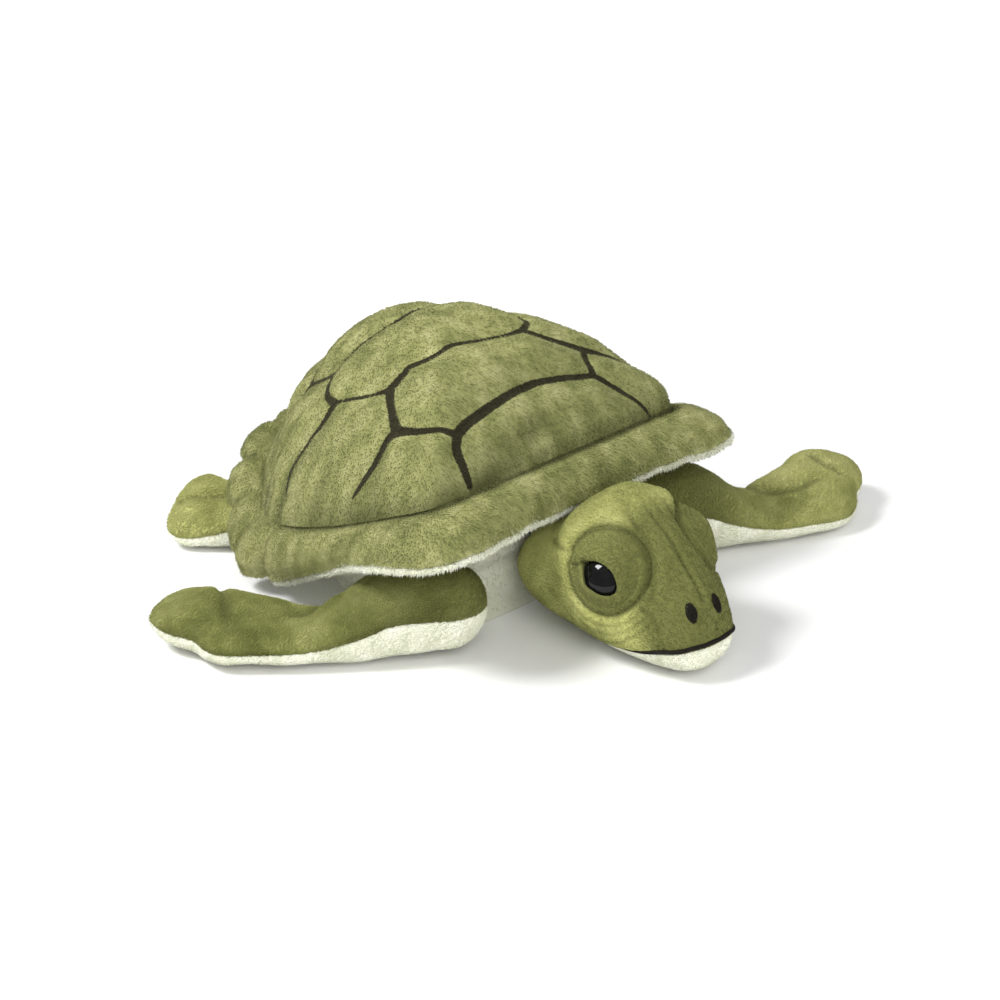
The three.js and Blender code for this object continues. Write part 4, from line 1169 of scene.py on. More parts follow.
    def belly(self, around: int = 264, rings: int = 18) -> Skin:
        """Cream underside from its seam under the dome to the flat it rests on.

        Args:
            around: Points round it.
            rings: Rows of points on the flat.

        Returns:
            The underside's skin.
        """
        base = self.base_loop(around)
        falls = np.linspace(0, 1, 64)[:, None]
        middle = np.array([0, self.belly_centre_y])
        share = np.where(base[:, 1] < self.belly_centre_y, self.belly_front_share, self.belly_rear_share)
        shares = np.stack([np.full(around, self.belly_width_share), share], 1)
        floor = middle + (base[:, :2] - middle) * shares
        drawn = 1 - (1 - falls) ** self.belly_draw_in
        level = base[:, :2] + (floor - base[:, :2]) * drawn[..., None]
        sides = np.concatenate([level, (base[:, 2] * (1 - falls))[..., None]], -1)
        sizes = np.linspace(0.96, 0.05, rings)[:, None, None]
        flat = np.concatenate([middle + (floor - middle) * sizes, np.zeros((rings, around, 1))], -1)
        skin = Skin(np.concatenate([sides, flat])[::-1])

        height = skin.points[..., 2]
        fall = np.concatenate([falls, np.ones((rings, 1))])[::-1]
        inside = smoothstep(2.0, 14.0, height) * smoothstep(0.0, 0.2, fall)
        lumps = noise_at(skin.points, (22, 22, 16), 41.0)
        chest = bell(skin.points[..., 0], 46) * smoothstep(-5.0, -35.0, skin.points[..., 1])
        crease = bell(height - self.crease_height - 0.05 * skin.points[..., 0], 2.2) * chest
        # Painted shade: the chest under the rim darker, with a darker crease across it.
        skin.marks = {"fold": np.clip(0.3 * crease, 0, 1), "shade": np.clip(0.9 * chest, 0, 1),
                      "pile": smoothstep(1.5, 4.0, height) * smoothstep(0.04, 0.12, fall)}
        skin.swell(inside * (lumps * 0.7 + chest * 1.5) - 1.8 * crease - 5.0 * smoothstep(0.16, 0.0, fall))
        skin.points[..., 2] = np.maximum(skin.points[..., 2], 0.0)
        skin.start = np.array([0, self.belly_centre_y, 0.0])
        return skin

    def build(self, shop: Workshop) -> None:
        """Makes the shell's pieces."""
        down = (0.0, 0.0, -1.0)
        upper, lining = self.rim()
        dome = self.dome().make("shell_dome_cover", self.cloth)
        shop.finish(dome, GREEN_SHELL, "trunk", "plush_green", ["shell_dome"], 0.8,
                    Pile(40000, 0.95, 0.2, self.nap, 0.95, seed=2))
        shop.finish(upper.make_ring("shell_rim_cover"), GREEN_SHELL, "trunk", "plush_green",
                    ["shell_rim_top"], 0.3, Pile(28000, 1.1, 0.22, self.nap, 0.95, seed=3))
        shop.finish(lining.make_ring("shell_rim_lining_cover"), CREAM, "trunk", "plush_cream",
                    ["shell_rim_lining"], 0.2, Pile(12000, 1.7, 0.28, down, 1.0, seed=4))
        belly = self.belly().make("belly_cover", self.cloth)
        shop.finish(belly, CREAM, "trunk", "plush_cream", ["belly_panel"], 0.7,
                    Pile(16000, 1.0, 0.28, down, 0.5, seed=5))


# Flippers


@dataclass
class Limb:
    """One flipper: a green top and a cream sole sewn together round a filling.

    Attributes:
        name: The flipper's node name without its last word.
        body: The body that it rides on.
        side: The turtle's side.
        centre: Middle of its root ball.
        radius: Radius of the root ball.
        length: From the root ball's middle to the tip.
        half_width: Half of its width before the stations' shares.
        sweep: Degrees by which it points forwards of straight out.
        bend: Degrees by which it bends back over its length.
        tip_bend: Further degrees past the share tip_share.
        tip_lift: Rise of the tip.
        roll: Degrees by which its rear edge is lifted.
        stations: Distance, leading and trailing half widths, seam height, rise and fall, as shares.
        creases: Folds in its cloth.
        tip_share: Share of the length at which the tip's bend starts.
        pile_count: Tufts on its top; its sole has half as many.
    """

    name: str
    body: str
    side: Side
    centre: tuple[float, float, float]
    radius: float
    length: float
    half_width: float
    sweep: float
    bend: float
    tip_bend: float
    tip_lift: float
    roll: float
    stations: tuple
    tip_share: float = 0.7
    creases: tuple[Stroke, ...] = ()
    pile_count: int = 20000
    cloth: float = 1.2

    def middle_line(self, shares: Array) -> tuple[Array, Array]:
        """Points of the middle line at those shares of the length, and the way to its leading edge."""
        fine = np.linspace(0, 1, 400)
        ways = self._way(self._angle((fine[1:] + fine[:-1]) / 2))
        steps = np.vstack([np.zeros(3), np.cumsum(ways, 0) * self.length / (len(fine) - 1)])
        start = np.array([self.centre[0], self.centre[1], 0.0])
        middle = np.stack([np.interp(shares, fine, steps[:, axis]) for axis in range(3)], 1) + start
        angle = self._angle(shares)
        leading = np.stack([-self.side.value * np.sin(angle), -np.cos(angle), np.zeros(len(shares))], 1)
        return middle, leading

    def _angle(self, share: Array) -> Array:
        """Angle of the middle line ahead of straight out, at those shares of the length."""
        past = np.maximum(share - self.tip_share, 0) / (1 - self.tip_share)
        return np.radians(self.sweep + self.bend * (0.5 - share) - self.tip_bend * past)

    def _way(self, angle: Array) -> Array:
        """Direction of the middle line at those angles."""
        return np.stack([self.side.value * np.cos(angle), -np.sin(angle), np.zeros(len(angle))], 1)

    def half(self, face: Face, rows: int = 120, columns: int = 46) -> Skin:
        """The top or the sole as a rounded half form, from its root ball to its tip.

        Args:
            face: Which of the two.
            rows: Points along it.
            columns: Points across it.

        Returns:
            The half's skin.
        """
        table = catmull(np.array(self.stations, float), np.linspace(0, 1, rows), False)
        shares = np.clip(table[:, 0], 0, 1)
        middle, leading = self.middle_line(shares)
        sizes = np.array([self.half_width] * 2 + [self.centre[2]] * 3)
        lead, trail, level, rise, fall = (table[:, 1:] * sizes).T
        depth = rise if face is Face.TOP else fall

        # The root ball's back, ahead of the first station
        back = np.radians(np.linspace(84, 6, 12))
        start_way = self._way(self._angle(np.zeros(1)))[0]
        near = middle[0] - start_way * shares[0] * self.length
        middle = np.vstack([near - start_way * (np.sin(back) * self.radius)[:, None], middle])
        leading = np.vstack([np.repeat(leading[:1], len(back), 0), leading])
        shares = np.concatenate([np.zeros(len(back)), shares])
        level = np.concatenate([np.full(len(back), level[0]), level])
        lead, trail, depth = (np.concatenate([row[0] * np.cos(back), row]) for row in (lead, trail, depth))

        root_share = self.radius / self.length
        past_root = np.maximum(shares - root_share, 0) / (1 - root_share)
        slope = past_root * math.tan(math.radians(self.roll))
        turns = np.linspace(0, math.pi, columns)
        across = -np.sign(np.cos(turns)) * np.abs(np.cos(turns)) ** 0.8
        arch = np.sin(turns) ** 0.95
        offset = np.where(across < 0, lead[:, None], trail[:, None]) * across
        points = middle[:, None, :] - leading[:, None, :] * offset[..., None]
        points[..., 2] = ((level + self.tip_lift * shares**2)[:, None] + offset * slope[:, None]
                          + face.value * arch * depth[:, None])
        if (face is Face.TOP) == (self.side is Side.LEFT):
            points, arch = points[:, ::-1], arch[::-1]
        skin = Skin(points, wraps=False)
        self._soften(skin, face, arch, shares, depth)
        skin.start, tip = ((row[0] + row[-1]) / 2 for row in skin.points[[0, -1]])
        skin.end = tip + self._way(self._angle(np.ones(1)))[0] * 0.8
        return skin

    def _soften(self, skin: Skin, face: Face, arch: Array, shares: Array, depth: Array) -> None:
        """Presses the seam in, adds folds and lumps, and marks where pile grows and where shade is painted.

        Args:
            skin: The top or the sole, which is changed.
            face: Which of the two.
            arch: How high each column stands, from 0 at the seam to 1.
            shares: Share of the length at each row.
            depth: Height of the form over its seam at each row, in millimetres.
        """
        top = face is Face.TOP
        points = skin.points
        seam = bell(arch, 0.16) * np.ones((len(points), 1))
        lumps = noise_at(points, (19, 19, 12), 51.0 + self.side.value)
        ripples = noise_at(points, (7, 7, 5), 61.0 + self.side.value)
        gaps, _ = nearest(points * np.array([1.0, 1.0, 0.0]), self.creases)
        crease = bell(gaps, 2.2) * top
        thick = np.clip(arch * 1.4, 0, 1)
        taper = smoothstep(1.0, 0.9, shares)[:, None]
        swell = (lumps * 0.9 + ripples * 0.35) * thick * taper - 0.5 * seam
        swell = swell - np.minimum(1.9, 0.22 * depth)[:, None] * crease * thick
        skin.swell(swell if top else np.minimum(swell, 0.4))
        skin.points[..., 2] = np.maximum(skin.points[..., 2], GROUND_GAP)
        # Painted shade on the top of a front flipper's arm next to the shell, deeper on the left one, and in
        # its seam and creases.
        shaded_arm = smoothstep(0.44, 0.16, shares)[:, None] * (self.centre[1] < 0) * np.ones(seam.shape)
        skin.marks = {"fold": np.clip(0.3 * seam * top + 0.5 * crease, 0, 1),
                      "shade": (0.4 + 0.6 * (self.side is Side.LEFT)) * shaded_arm * top,
                      "pile": 1.0 * (skin.points[..., 2] > 1.2)}

    def build(self, shop: Workshop) -> None:
        """Makes the flipper's two cloth pieces."""
        lean = (self.side.value * 0.8, 0.4, -0.3)
        top = self.half(Face.TOP).make(f"{self.name}_top_cover", self.cloth)
        # The right front flipper wears the shaded copy of the green, the others the lit copy.
        green = GREEN_LIMB_SHADED if self.name == "front_flipper_right" else GREEN_LIMB_LIT
        shop.finish(top, green, self.body, "plush_green", [f"{self.name}_top"], 0.8,
                    Pile(self.pile_count, 1.1, 0.26, lean, 0.5, seed=6))
        sole = self.half(Face.SOLE).make(f"{self.name}_sole_cover", self.cloth)
        shop.finish(sole, CREAM, self.body, "plush_cream", [f"{self.name}_sole"], 0.8,
                    Pile(self.pile_count // 2, 0.9, 0.28, lean, 0.5, seed=7))


FRONT_STATIONS = (
    (0.03, 0.88, 0.88, 1, 0.82, 0.82), (0.16, 1, 0.86, 1, 0.88, 0.94), (0.26, 1.05, 0.76, 0.78, 0.82, 0.76),
    (0.36, 1.1, 0.72, 0.59, 0.52, 0.57), (0.46, 1.2, 0.78, 0.49, 0.34, 0.47),
    (0.58, 1.28, 0.92, 0.46, 0.46, 0.44), (0.71, 1.4, 1.06, 0.46, 0.54, 0.44),
    (0.77, 1.22, 1.12, 0.46, 0.56, 0.44), (0.83, 0.86, 1.12, 0.48, 0.54, 0.45),
    (0.9, 0.78, 0.98, 0.51, 0.46, 0.42), (0.96, 0.58, 0.7, 0.54, 0.3, 0.3),
    (1, 0.28, 0.3, 0.54, 0.12, 0.12),
)
REAR_STATIONS = (
    (0.03, 0.68, 0.68, 1, 0.8, 0.82), (0.25, 0.68, 0.7, 1, 0.7, 0.9), (0.43, 0.76, 0.86, 0.8, 0.52, 0.76),
    (0.62, 0.9, 1.1, 0.64, 0.46, 0.6), (0.82, 1, 1.28, 0.6, 0.44, 0.54), (0.94, 0.86, 1.04, 0.62, 0.3, 0.38),
    (1, 0.5, 0.55, 0.64, 0.13, 0.14),
)


def level_line(places: Sequence[tuple[float, float]]) -> Stroke:
    """A fold drawn from above, where only its place on the level counts."""
    return Stroke(tuple((x, y, 0.0, 1.0) for x, y in places))


CREASES = {
    Side.LEFT: (level_line(((112, -33), (107.3, -42), (107.3, -49), (110.2, -54.3), (119, -60), (126, -61))),
                level_line(((140, -50), (138, -57), (139, -64)))),
    Side.RIGHT: (level_line(((-96, 7), (-90, 4.5), (-84.2, 5), (-71.1, 5.5))),
                 level_line(((-98, 44), (-103, 37), (-110, 28), (-116, 20)))),
}
# Sweep, tip bend, tip lift and roll of the front flippers, which lie in different poses
REST = {Side.LEFT: (16, 44, 3, 13), Side.RIGHT: (-51, 0, 1, 3)}


def front_flipper(side: Side) -> Limb:
    """A front flipper in its resting pose."""
    name = f"front_flipper_{side.word}"
    sweep, tip_bend, tip_lift, roll = REST[side]
    return Limb(name, name, side, centre=(side.value * 57, -31.5, 18.5), radius=15.5, length=107,
                half_width=16, sweep=sweep, bend=20, tip_bend=tip_bend, tip_lift=tip_lift, roll=roll,
                stations=FRONT_STATIONS, creases=CREASES[side], pile_count=24000)


def rear_flipper(side: Side) -> Limb:
    """A rear flipper in its resting pose."""
    name = f"rear_flipper_{side.word}"
    fold = level_line(((side.value * 38, 96), (side.value * 46, 105), (side.value * 56, 115)))
    return Limb(name, name, side, centre=(side.value * 28.5, 72.5, 15), radius=13, length=53.5,
                half_width=17, sweep=-58, bend=8, tip_bend=0, tip_lift=2, roll=17,
                stations=REAR_STATIONS, creases=(fold,), pile_count=9000)


# Head and neck


@dataclass
class Head:
    """Stuffed head with stitched eye discs, embroidered nostrils and a cream chin."""

    neck_y: float = -42.0
    neck_height: float = 28.0
    neck_radius: float = 15.0
    turn: float = 6.0
    length: float = 75.0
    half_width: float = 25.0
    crown: float = 60.0
    chin_gap: float = 0.4
    rows: int = 200
    columns: int = 184
    cloth: float = 1.2
    sections: tuple = (
        (-0.1, 0.74, 0.58, 0.2, 0.41), (-0.02, 0.94, 0.67, 0.1, 0.42), (0.11, 1.06, 0.75, 0.045, 0.43),
        (0.24, 1.08, 0.905, 0.02, 0.45), (0.37, 1.1, 1, 0.01, 0.46), (0.5, 1.1, 0.97, 0.005, 0.43),
        (0.62, 1.04, 0.85, 0, 0.4), (0.74, 0.92, 0.72, 0, 0.34), (0.84, 0.77, 0.61, 0.015, 0.29),
        (0.92, 0.64, 0.5, 0.045, 0.25), (0.97, 0.48, 0.4, 0.085, 0.23), (1, 0.2, 0.29, 0.15, 0.21),
    )
    chin_rear_share: float = 0.22
    chin_rear_height: float = 2.0
    chin_front_height: float = 13.5
    mouth_rear_share: float = 0.6
    eye_radius: float = 7.8
    eye_dome: float = 4.2
    patch_radius: float = 15.6
    eye_ahead: float = 42.0
    eye_left: float = 20.5
    eye_height: float = 37.0
    eye_forward: float = 20.0
    eye_up: float = 25.0
    eye_back_offset: float = 0.5
    eye_down_offset: float = 2.6
    # Where the painted shade of the muzzle and forehead begins: heights, and how far ahead it begins at each
    muzzle_border: tuple = ((10.0, 27.0, 37.0, 50.0, 56.0), (66.0, 59.0, 54.0, 46.0, 44.0))
    stitch_width: float = 0.7
    # Crease from the lids' rear corner to the disc's edge: from the eye, and from the disc's middle
    lid_corner: tuple = (-6.9, 3.9)
    corner_crease_end: tuple = (-15.9, -1.8)
    # Opening between the lids, round the eye's middle: towards the nose and upwards
    lid_opening: tuple = (
        (7.6, -1.3), (5.4, 2.7), (2.2, 4.7), (-2.2, 5.5), (-7.4, 4.1), (-6.4, 1.6), (-5.5, -0.7),
        (-3.8, -3.7), (-1.2, -4.9), (2.4, -5.8), (5.9, -5.2), (7.5, -3.5),
    )
    # Seams, as (ahead, left, height, half width)
    middle_seam: Stroke = Stroke(((34.0, 0.0, 57.5, 1.0), (39.2, -1.0, 56.0, 1.0), (45.8, -1.0, 51.0, 1.0),
                                  (51.8, -0.6, 46.2, 1.0), (58.5, -0.3, 40.5, 1.0), (64.0, 0.0, 35.5, 0.9),
                                  (69.0, 0.0, 29.5, 0.7)))
    cheek_seam: Stroke = Stroke(((57.0, -19.3, 27.5, 1.0), (61.0, -18.4, 26.5, 1.0), (64.0, -17.4, 23.0, 1.0),
                                 (66.0, -17.0, 19.0, 1.0), (67.4, -16.6, 14.6, 1.0)))
    back_crease: Stroke = Stroke(((0.0, -17.5, 42.0, 0.9), (10.4, -21.0, 41.0, 1.0), (18.0, -24.0, 40.3, 1.0),
                                  (25.5, -24.6, 40.0, 0.8)))
    brow_crease: Stroke = Stroke(((33.0, -8.0, 56.0, 0.6), (39.5, -8.6, 54.3, 1.0),
                                  (47.0, -8.6, 49.5, 1.1), (52.5, -9.6, 44.5, 1.0),
                                  (57.0, -12.2, 38.5, 0.9), (60.0, -16.0, 31.5, 0.5)))
    # Depth, width and darkness of the painted shade of each of the seams that both sides have
    seam_looks: tuple = ((0.9, 1.0, 0.6), (1.2, 1.5, 0.4), (1.3, 1.9, 0.5))
    # Lumps of padding: their size along each way and their height
    lumps: tuple = (((17, 17, 14), 0.6), ((6, 6, 5), 0.12))
    # Fold round an eye disc: depth, and its own and its painted shade's half width
    disc_fold: tuple = (1.4, 1.1, 0.75)
    brow_radius: float = 19.5
    lid_height: float = 1.2
    # Rows that tuck the lids' edge in: how far they sink, and how much they widen
    lid_tuck: tuple = ((0.5, -0.05), (1.1, 0.0), (2.2, 0.15), (4.5, 0.4))
    nostril_place: tuple = (70.0, 6.2, 26.2)
    nostril_half: tuple = (2.4, 4.1)

    def world(self, points: Array) -> Array:
        """Turns (ahead, left, height) into the frame's place."""
        turn = math.radians(self.turn)
        ahead, left, height = points[..., 0], points[..., 1], points[..., 2]
        x = left * math.cos(turn) - ahead * math.sin(turn)
        y = self.neck_y - ahead * math.cos(turn) - left * math.sin(turn)
        return np.stack([x, y, height], -1)

    def direction(self, way: Sequence[float]) -> Array:
        """Turns a direction (ahead, left, up) into the frame's."""
        there = self.world(np.array([way], float))[0]
        return there - self.world(np.zeros((1, 3)))[0]

    def table(self) -> Array:
        """Smooth rows of ahead, half width, top, bottom and middle, in millimetres."""
        sizes = np.array([self.length, self.half_width, self.crown, self.crown, self.crown])
        rows = np.array(self.sections, float) * sizes
        return catmull(rows, np.linspace(0, 1, self.rows), False)

    def seam_height(self, ahead: Array) -> Array:
        """Height of the chin's seam."""
        along = (ahead / self.length - self.chin_rear_share) / (1 - self.chin_rear_share)
        return self.chin_rear_height + (self.chin_front_height - self.chin_rear_height) * along

    def ring(self, row: Array, turns: Array) -> Array:
        """Points of one section at those angles from its top."""
        ahead, half_width, top, bottom, centre = row
        rise = top - centre
        fall = centre - bottom - self.chin_gap
        height = centre + np.where(np.cos(turns) > 0, rise, fall) * np.cos(turns)
        return np.stack([np.full(len(turns), ahead), half_width * np.sin(turns), height], 1)

    def seam_turn(self, row: Array) -> float:
        """Angle from a section's top at which the chin's seam crosses it."""
        ahead, _, top, bottom, centre = row
        if ahead < self.chin_rear_share * self.length:
            return math.pi
        height = float(self.seam_height(np.array(ahead)))
        reach = top - centre if height > centre else centre - bottom - self.chin_gap
        return math.acos(max(-1.0, min(1.0, (height - centre) / reach)))

    def eye_frame(self, side: Side) -> tuple[Array, Array, Array, Array]:
        """Middle of an eye disc and its ways to the nose, up and outwards, in the head's own terms."""
        forward, raised = math.radians(self.eye_forward), math.radians(self.eye_up)
        outward = np.array([math.sin(forward) * math.cos(raised),
                            side.value * math.cos(forward) * math.cos(raised), math.sin(raised)])
        upward = unit(UP - outward * outward[2])
        nosewards = np.cross(outward, upward) * side.value
        if nosewards[0] < 0:
            nosewards = -nosewards
        centre = np.array([self.eye_ahead, side.value * self.eye_left, self.eye_height])
        return centre, nosewards, upward, outward

    def about_eye(self, points: Array, side: Side) -> tuple[Array, Array, Array]:
        """Distance from an eye disc's axis, rise above its middle and depth along its outward way."""
        centre, _, upward, outward = self.eye_frame(side)
        offset = points - centre
        depth = offset @ outward
        return np.linalg.norm(offset - depth[..., None] * outward, axis=-1), offset @ upward, depth

    def relief(self, points: Array) -> tuple[Array, Array]:
        """How far the head's cloth stands out at each point, and how dark the painted shade of its folds is
        there.

        Args:
            points: Points in the head's own terms.

        Returns:
            The rise in millimetres, and the painted shade in its folds from 0 to 1.
        """
        (broad, high), (fine, low) = self.lumps
        swell = noise_at(points, broad, 71.0) * high + noise_at(points, fine, 73.0) * low
        sink, fold_width, shade_width = self.disc_fold
        # Painted shade in the seams, round the eye discs, in the ripples below the eyes and along the middle
        # seam.
        crease_shade = np.zeros(points.shape[:-1])
        for side in Side:
            mirrored = points * np.array([1, -side.value, 1])
            seams = (self.cheek_seam, self.back_crease, self.brow_crease)
            for stroke, (depth, width, tone) in zip(seams, self.seam_looks):
                gap, _ = stroke.reach(mirrored)
                swell = swell - depth * bell(gap, width)
                crease_shade = np.maximum(crease_shade, tone * bell(gap, 0.7 * width))
            radius, rise, depth = self.about_eye(points, side)
            near = depth > -16
            edge = radius - self.patch_radius
            swell = swell - sink * bell(edge - 0.6, fold_width) * near - 0.8 * (edge < 0) * near
            crease_shade = np.maximum(crease_shade, bell(edge - 0.5, shade_width) * near)
            brow = bell(radius - self.brow_radius, 3.6) * smoothstep(-2.0, 12.0, rise) * near
            swell = swell + 1.5 * brow
            below = smoothstep(-10.0, -17.0, rise) * (radius < 27) * near
            ripple = np.cos(edge * 2 * math.pi / 2.7)
            swell = swell + 0.16 * below * ripple
            crease_shade = np.maximum(crease_shade, 0.16 * below * np.clip(-ripple, 0, 1))
        gap, _ = self.middle_seam.reach(points)
        swell = swell - 0.7 * bell(gap, 0.9) + 0.5 * bell(gap - 2.2, 1.3)
        return swell, np.maximum(crease_shade, 0.3 * bell(gap, 0.9))

    def nose(self) -> Array:
        """The point that closes the cover and the chin in front."""
        return self.world(np.array([self.length + 0.4, 0.0, self.chin_front_height]))

    def cover(self) -> Skin:
        """The green cover, from the back of the head to the nose and down to the chin's seam."""
        limits = [(row, self.seam_turn(row)) for row in self.table()]
        grid = [self.ring(row, np.linspace(-limit, limit, self.columns)) for row, limit in limits]
        local = np.array(grid)[:, ::-1]
        ahead, height = local[..., 0], local[..., 2]
        skin = Skin(local, wraps=False)
        swell, crease_shade = self.relief(local)
        hem = bell(from_ends(self.columns), 2.0) * (ahead > self.chin_rear_share * self.length)
        skin.swell(swell * (1 - hem) - 0.5 * hem)
        skin.points = self.world(skin.points)
        skin.end = self.nose()
        skin.start = self.world(np.array([-0.1 * self.length - 2.0, 0.0, 24.0]))
        # Painted shade: darker over the top of the head and darker still on the muzzle and forehead ahead of
        # the border, and painted shade in the folds and along the hem.
        border = np.interp(height, *self.muzzle_border)
        tone = 0.3 * smoothstep(38.0, 52.0, height) + 1.1 * smoothstep(-7.0, 3.0, ahead - border)
        bare = np.zeros(crease_shade.shape, bool)
        for side in Side:
            radius, _, depth = self.about_eye(local, side)
            bare |= (radius < self.patch_radius) & (depth > -14)
        skin.marks = {"fold": np.clip(crease_shade + 0.5 * hem, 0, 1), "shade": np.minimum(tone, 1.0),
                      "pile": 1.0 - bare}
        return skin

    def chin(self, columns: int = 60) -> Skin:
        """The cream chin panel below the mouth's seam, with so many points across."""
        limits = [(row, self.seam_turn(row)) for row in self.table()]
        grid = [self.ring(row, np.linspace(limit, 2 * math.pi - limit, columns))
                for row, limit in limits if limit < math.pi - 0.02]
        skin = Skin(np.array(grid)[:, ::-1], wraps=False)
        puff = noise_at(skin.points, (15, 15, 8), 81.0) * 0.4
        front = smoothstep(0.7, 1.0, skin.points[..., 0] / self.length)
        edge = from_ends(columns)
        swell = puff * np.clip(edge / 8, 0, 1) + 0.9 * front * np.clip(edge / 10, 0, 1)
        skin.swell(np.where(skin.points[..., 2] < 3, np.minimum(swell, 0.2), swell))
        skin.points[..., 2] = np.maximum(skin.points[..., 2], GROUND_GAP)
        skin.points = self.world(skin.points)
        skin.end = self.nose()
        skin.start = skin.points[0].mean(0)
        skin.marks = {"pile": 1.0 * (skin.points[..., 2] > 1.0)}
        return skin

    def disc_point(self, surface: BVHTree, side: Side, flat: Array) -> Array:
        """Where points drawn flat on an eye disc meet the head, in the frame.

        Args:
            surface: The head cover's surface.
            side: The turtle's side.
            flat: Offsets from the disc's middle, towards the nose and upwards.

        Returns:
            The points in millimetres.
        """
        centre, nosewards, upward, outward = self.eye_frame(side)
        out = self.direction(outward)
        spots = self.world(centre + flat[..., :1] * nosewards + flat[..., 1:] * upward)
        found = [laid(surface, spot, out, 25) for spot in spots.reshape(-1, 3)]
        return np.array(found).reshape(spots.shape)

    def eye_seat(self, surface: BVHTree, side: Side) -> tuple[Array, Array, Array]:
        """The eye's middle on its disc, where it sits on the head, and its way out."""
        eye = np.array([-self.eye_back_offset, -self.eye_down_offset])
        return eye, self.disc_point(surface, side, eye[None])[0], self.direction(self.eye_frame(side)[3])

    def lid_reach(self, turns: Array) -> Array:
        """Distance from the eye's middle to the edge of its lids, at those angles."""
        fine = catmull(np.array(self.lid_opening), np.arange(720) / 720, True)
        angle = np.arctan2(fine[:, 1], fine[:, 0])
        order = np.argsort(angle)
        whole = 2 * math.pi
        return np.interp(turns, angle[order] % whole, np.hypot(*fine.T)[order], period=whole)

    def patch(self, surface: BVHTree, side: Side, around: int = 180, rows: int = 40) -> bpy.types.Object:
        """The stitched disc round an eye, which rises into its two lids.

        Args:
            surface: The head cover's surface.
            side: The turtle's side.
            around: Points round it.
            rows: Points from its edge to the lids' edge.

        Returns:
            The disc as a closed ring of cloth.
        """
        eye, base, out = self.eye_seat(surface, side)
        turns = circle(around)
        ways = np.stack([np.cos(turns), np.sin(turns)], 1)
        reach = self.lid_reach(turns)
        inner = eye + ways * reach[:, None]
        along = ways @ eye
        outer = eye + ways * (np.sqrt(along**2 + self.patch_radius**2 - eye @ eye) - along)[:, None]
        shape = np.linspace(0, 1, rows)[:, None]
        flat = outer + (inner - outer) * shape[..., None]
        seat = self.disc_point(surface, side, flat)
        depth = (seat - base) @ out

        covered = np.clip(1 - (reach / (self.eye_radius + 0.8)) ** 2, 0, 1)
        lid = self.eye_dome * np.sqrt(covered) + self.lid_height
        rim = smoothstep(0.0, 0.12, shape)
        rising = smoothstep(0.35, 1.0, shape)
        upper = smoothstep(-0.2, 0.9, np.sin(turns))
        pillow = np.sin(math.pi * shape).clip(0) ** 0.8 * (0.6 + 2.6 * upper)
        radius = np.linalg.norm(flat, axis=-1)
        ripple = 0.13 * np.cos(radius * 2 * math.pi / 2.3) * rim * (1 - smoothstep(0.75, 1.0, shape))
        wander = 0.35 * noise_at(seat, (5, 5, 5), 91.0) * rim
        corner = eye + np.array(self.lid_corner)
        back = np.array(self.corner_crease_end) - corner
        beside = np.clip(((flat - corner) @ back) / (back @ back), 0, 1)
        crease = bell(np.linalg.norm(flat - corner - beside[..., None] * back, axis=-1), 0.95)
        height = (depth + 0.3) * (1 - rising) + lid * rising
        height = height + pillow + ripple + wander - 1.5 * crease - 0.5 * (1 - rim)
        top = seat + (height - depth)[..., None] * out

        tuck = []
        for sink, widen in self.lid_tuck:
            under = self.disc_point(surface, side, eye + ways * (reach + widen)[:, None])
            tuck.append(under + (height[-1] - sink - (under - base) @ out)[:, None] * out)
        back_rows = [seat[int(share * rows)] - out * 1.1 for share in (0.8, 0.55, 0.3, 0.05)]
        skin = Skin(np.concatenate([(seat[0] - out * 0.9)[None], top, tuck, back_rows]))
        # Painted shade: the disc darker overall, more so towards the nose, and painted shade in the lids'
        # corner crease, round the disc's stitched edge, at the lids' edge and under its tucked rows.
        fold, shade, pile = (np.full(skin.points.shape[:2], value) for value in (0.0, 0.85, 0.0))
        fold[1:rows + 1] = 0.75 * crease**1.5 + 0.6 * (1 - rim) + 0.35 * smoothstep(0.9, 1.0, shape)
        fold[rows + 1:rows + 5] = 0.8
        shade[1:rows + 1] += 0.15 * smoothstep(-6.0, 12.0, flat[..., 0])
        pile[1:rows] = 1.0
        skin.marks = {"fold": fold, "shade": shade, "pile": pile}
        if side is Side.LEFT:
            skin.points = skin.points[:, ::-1]
            skin.marks = {word: values[:, ::-1] for word, values in skin.marks.items()}
        return skin.make_ring(f"eye_disc_{side.word}")

    def eyeball(self, surface: BVHTree, side: Side) -> bpy.types.Object:
        """The polished safety eye with its shank."""
        _, base, out = self.eye_seat(surface, side)
        _, nosewards, upward, _ = self.eye_frame(side)
        profile = [(self.eye_radius * math.cos(angle), self.eye_dome * math.sin(angle))
                   for angle in np.linspace(1.5, 0, 22)]
        profile += [(self.eye_radius - 0.4, -0.7), (2.0, -0.9), (2.0, -9.0), (0.6, -9.4)]
        turns = circle(64)[:, None]
        ring = np.cos(turns) * self.direction(nosewards) + np.sin(turns) * self.direction(upward)
        rows = np.array([base + radius * ring + height * out for radius, height in profile])
        if side is Side.RIGHT:
            rows = rows[:, ::-1]
        first, last = base + out * self.eye_dome, base + out * profile[-1][1]
        return capped(f"safety_eye_{side.word}", rows, first, last)

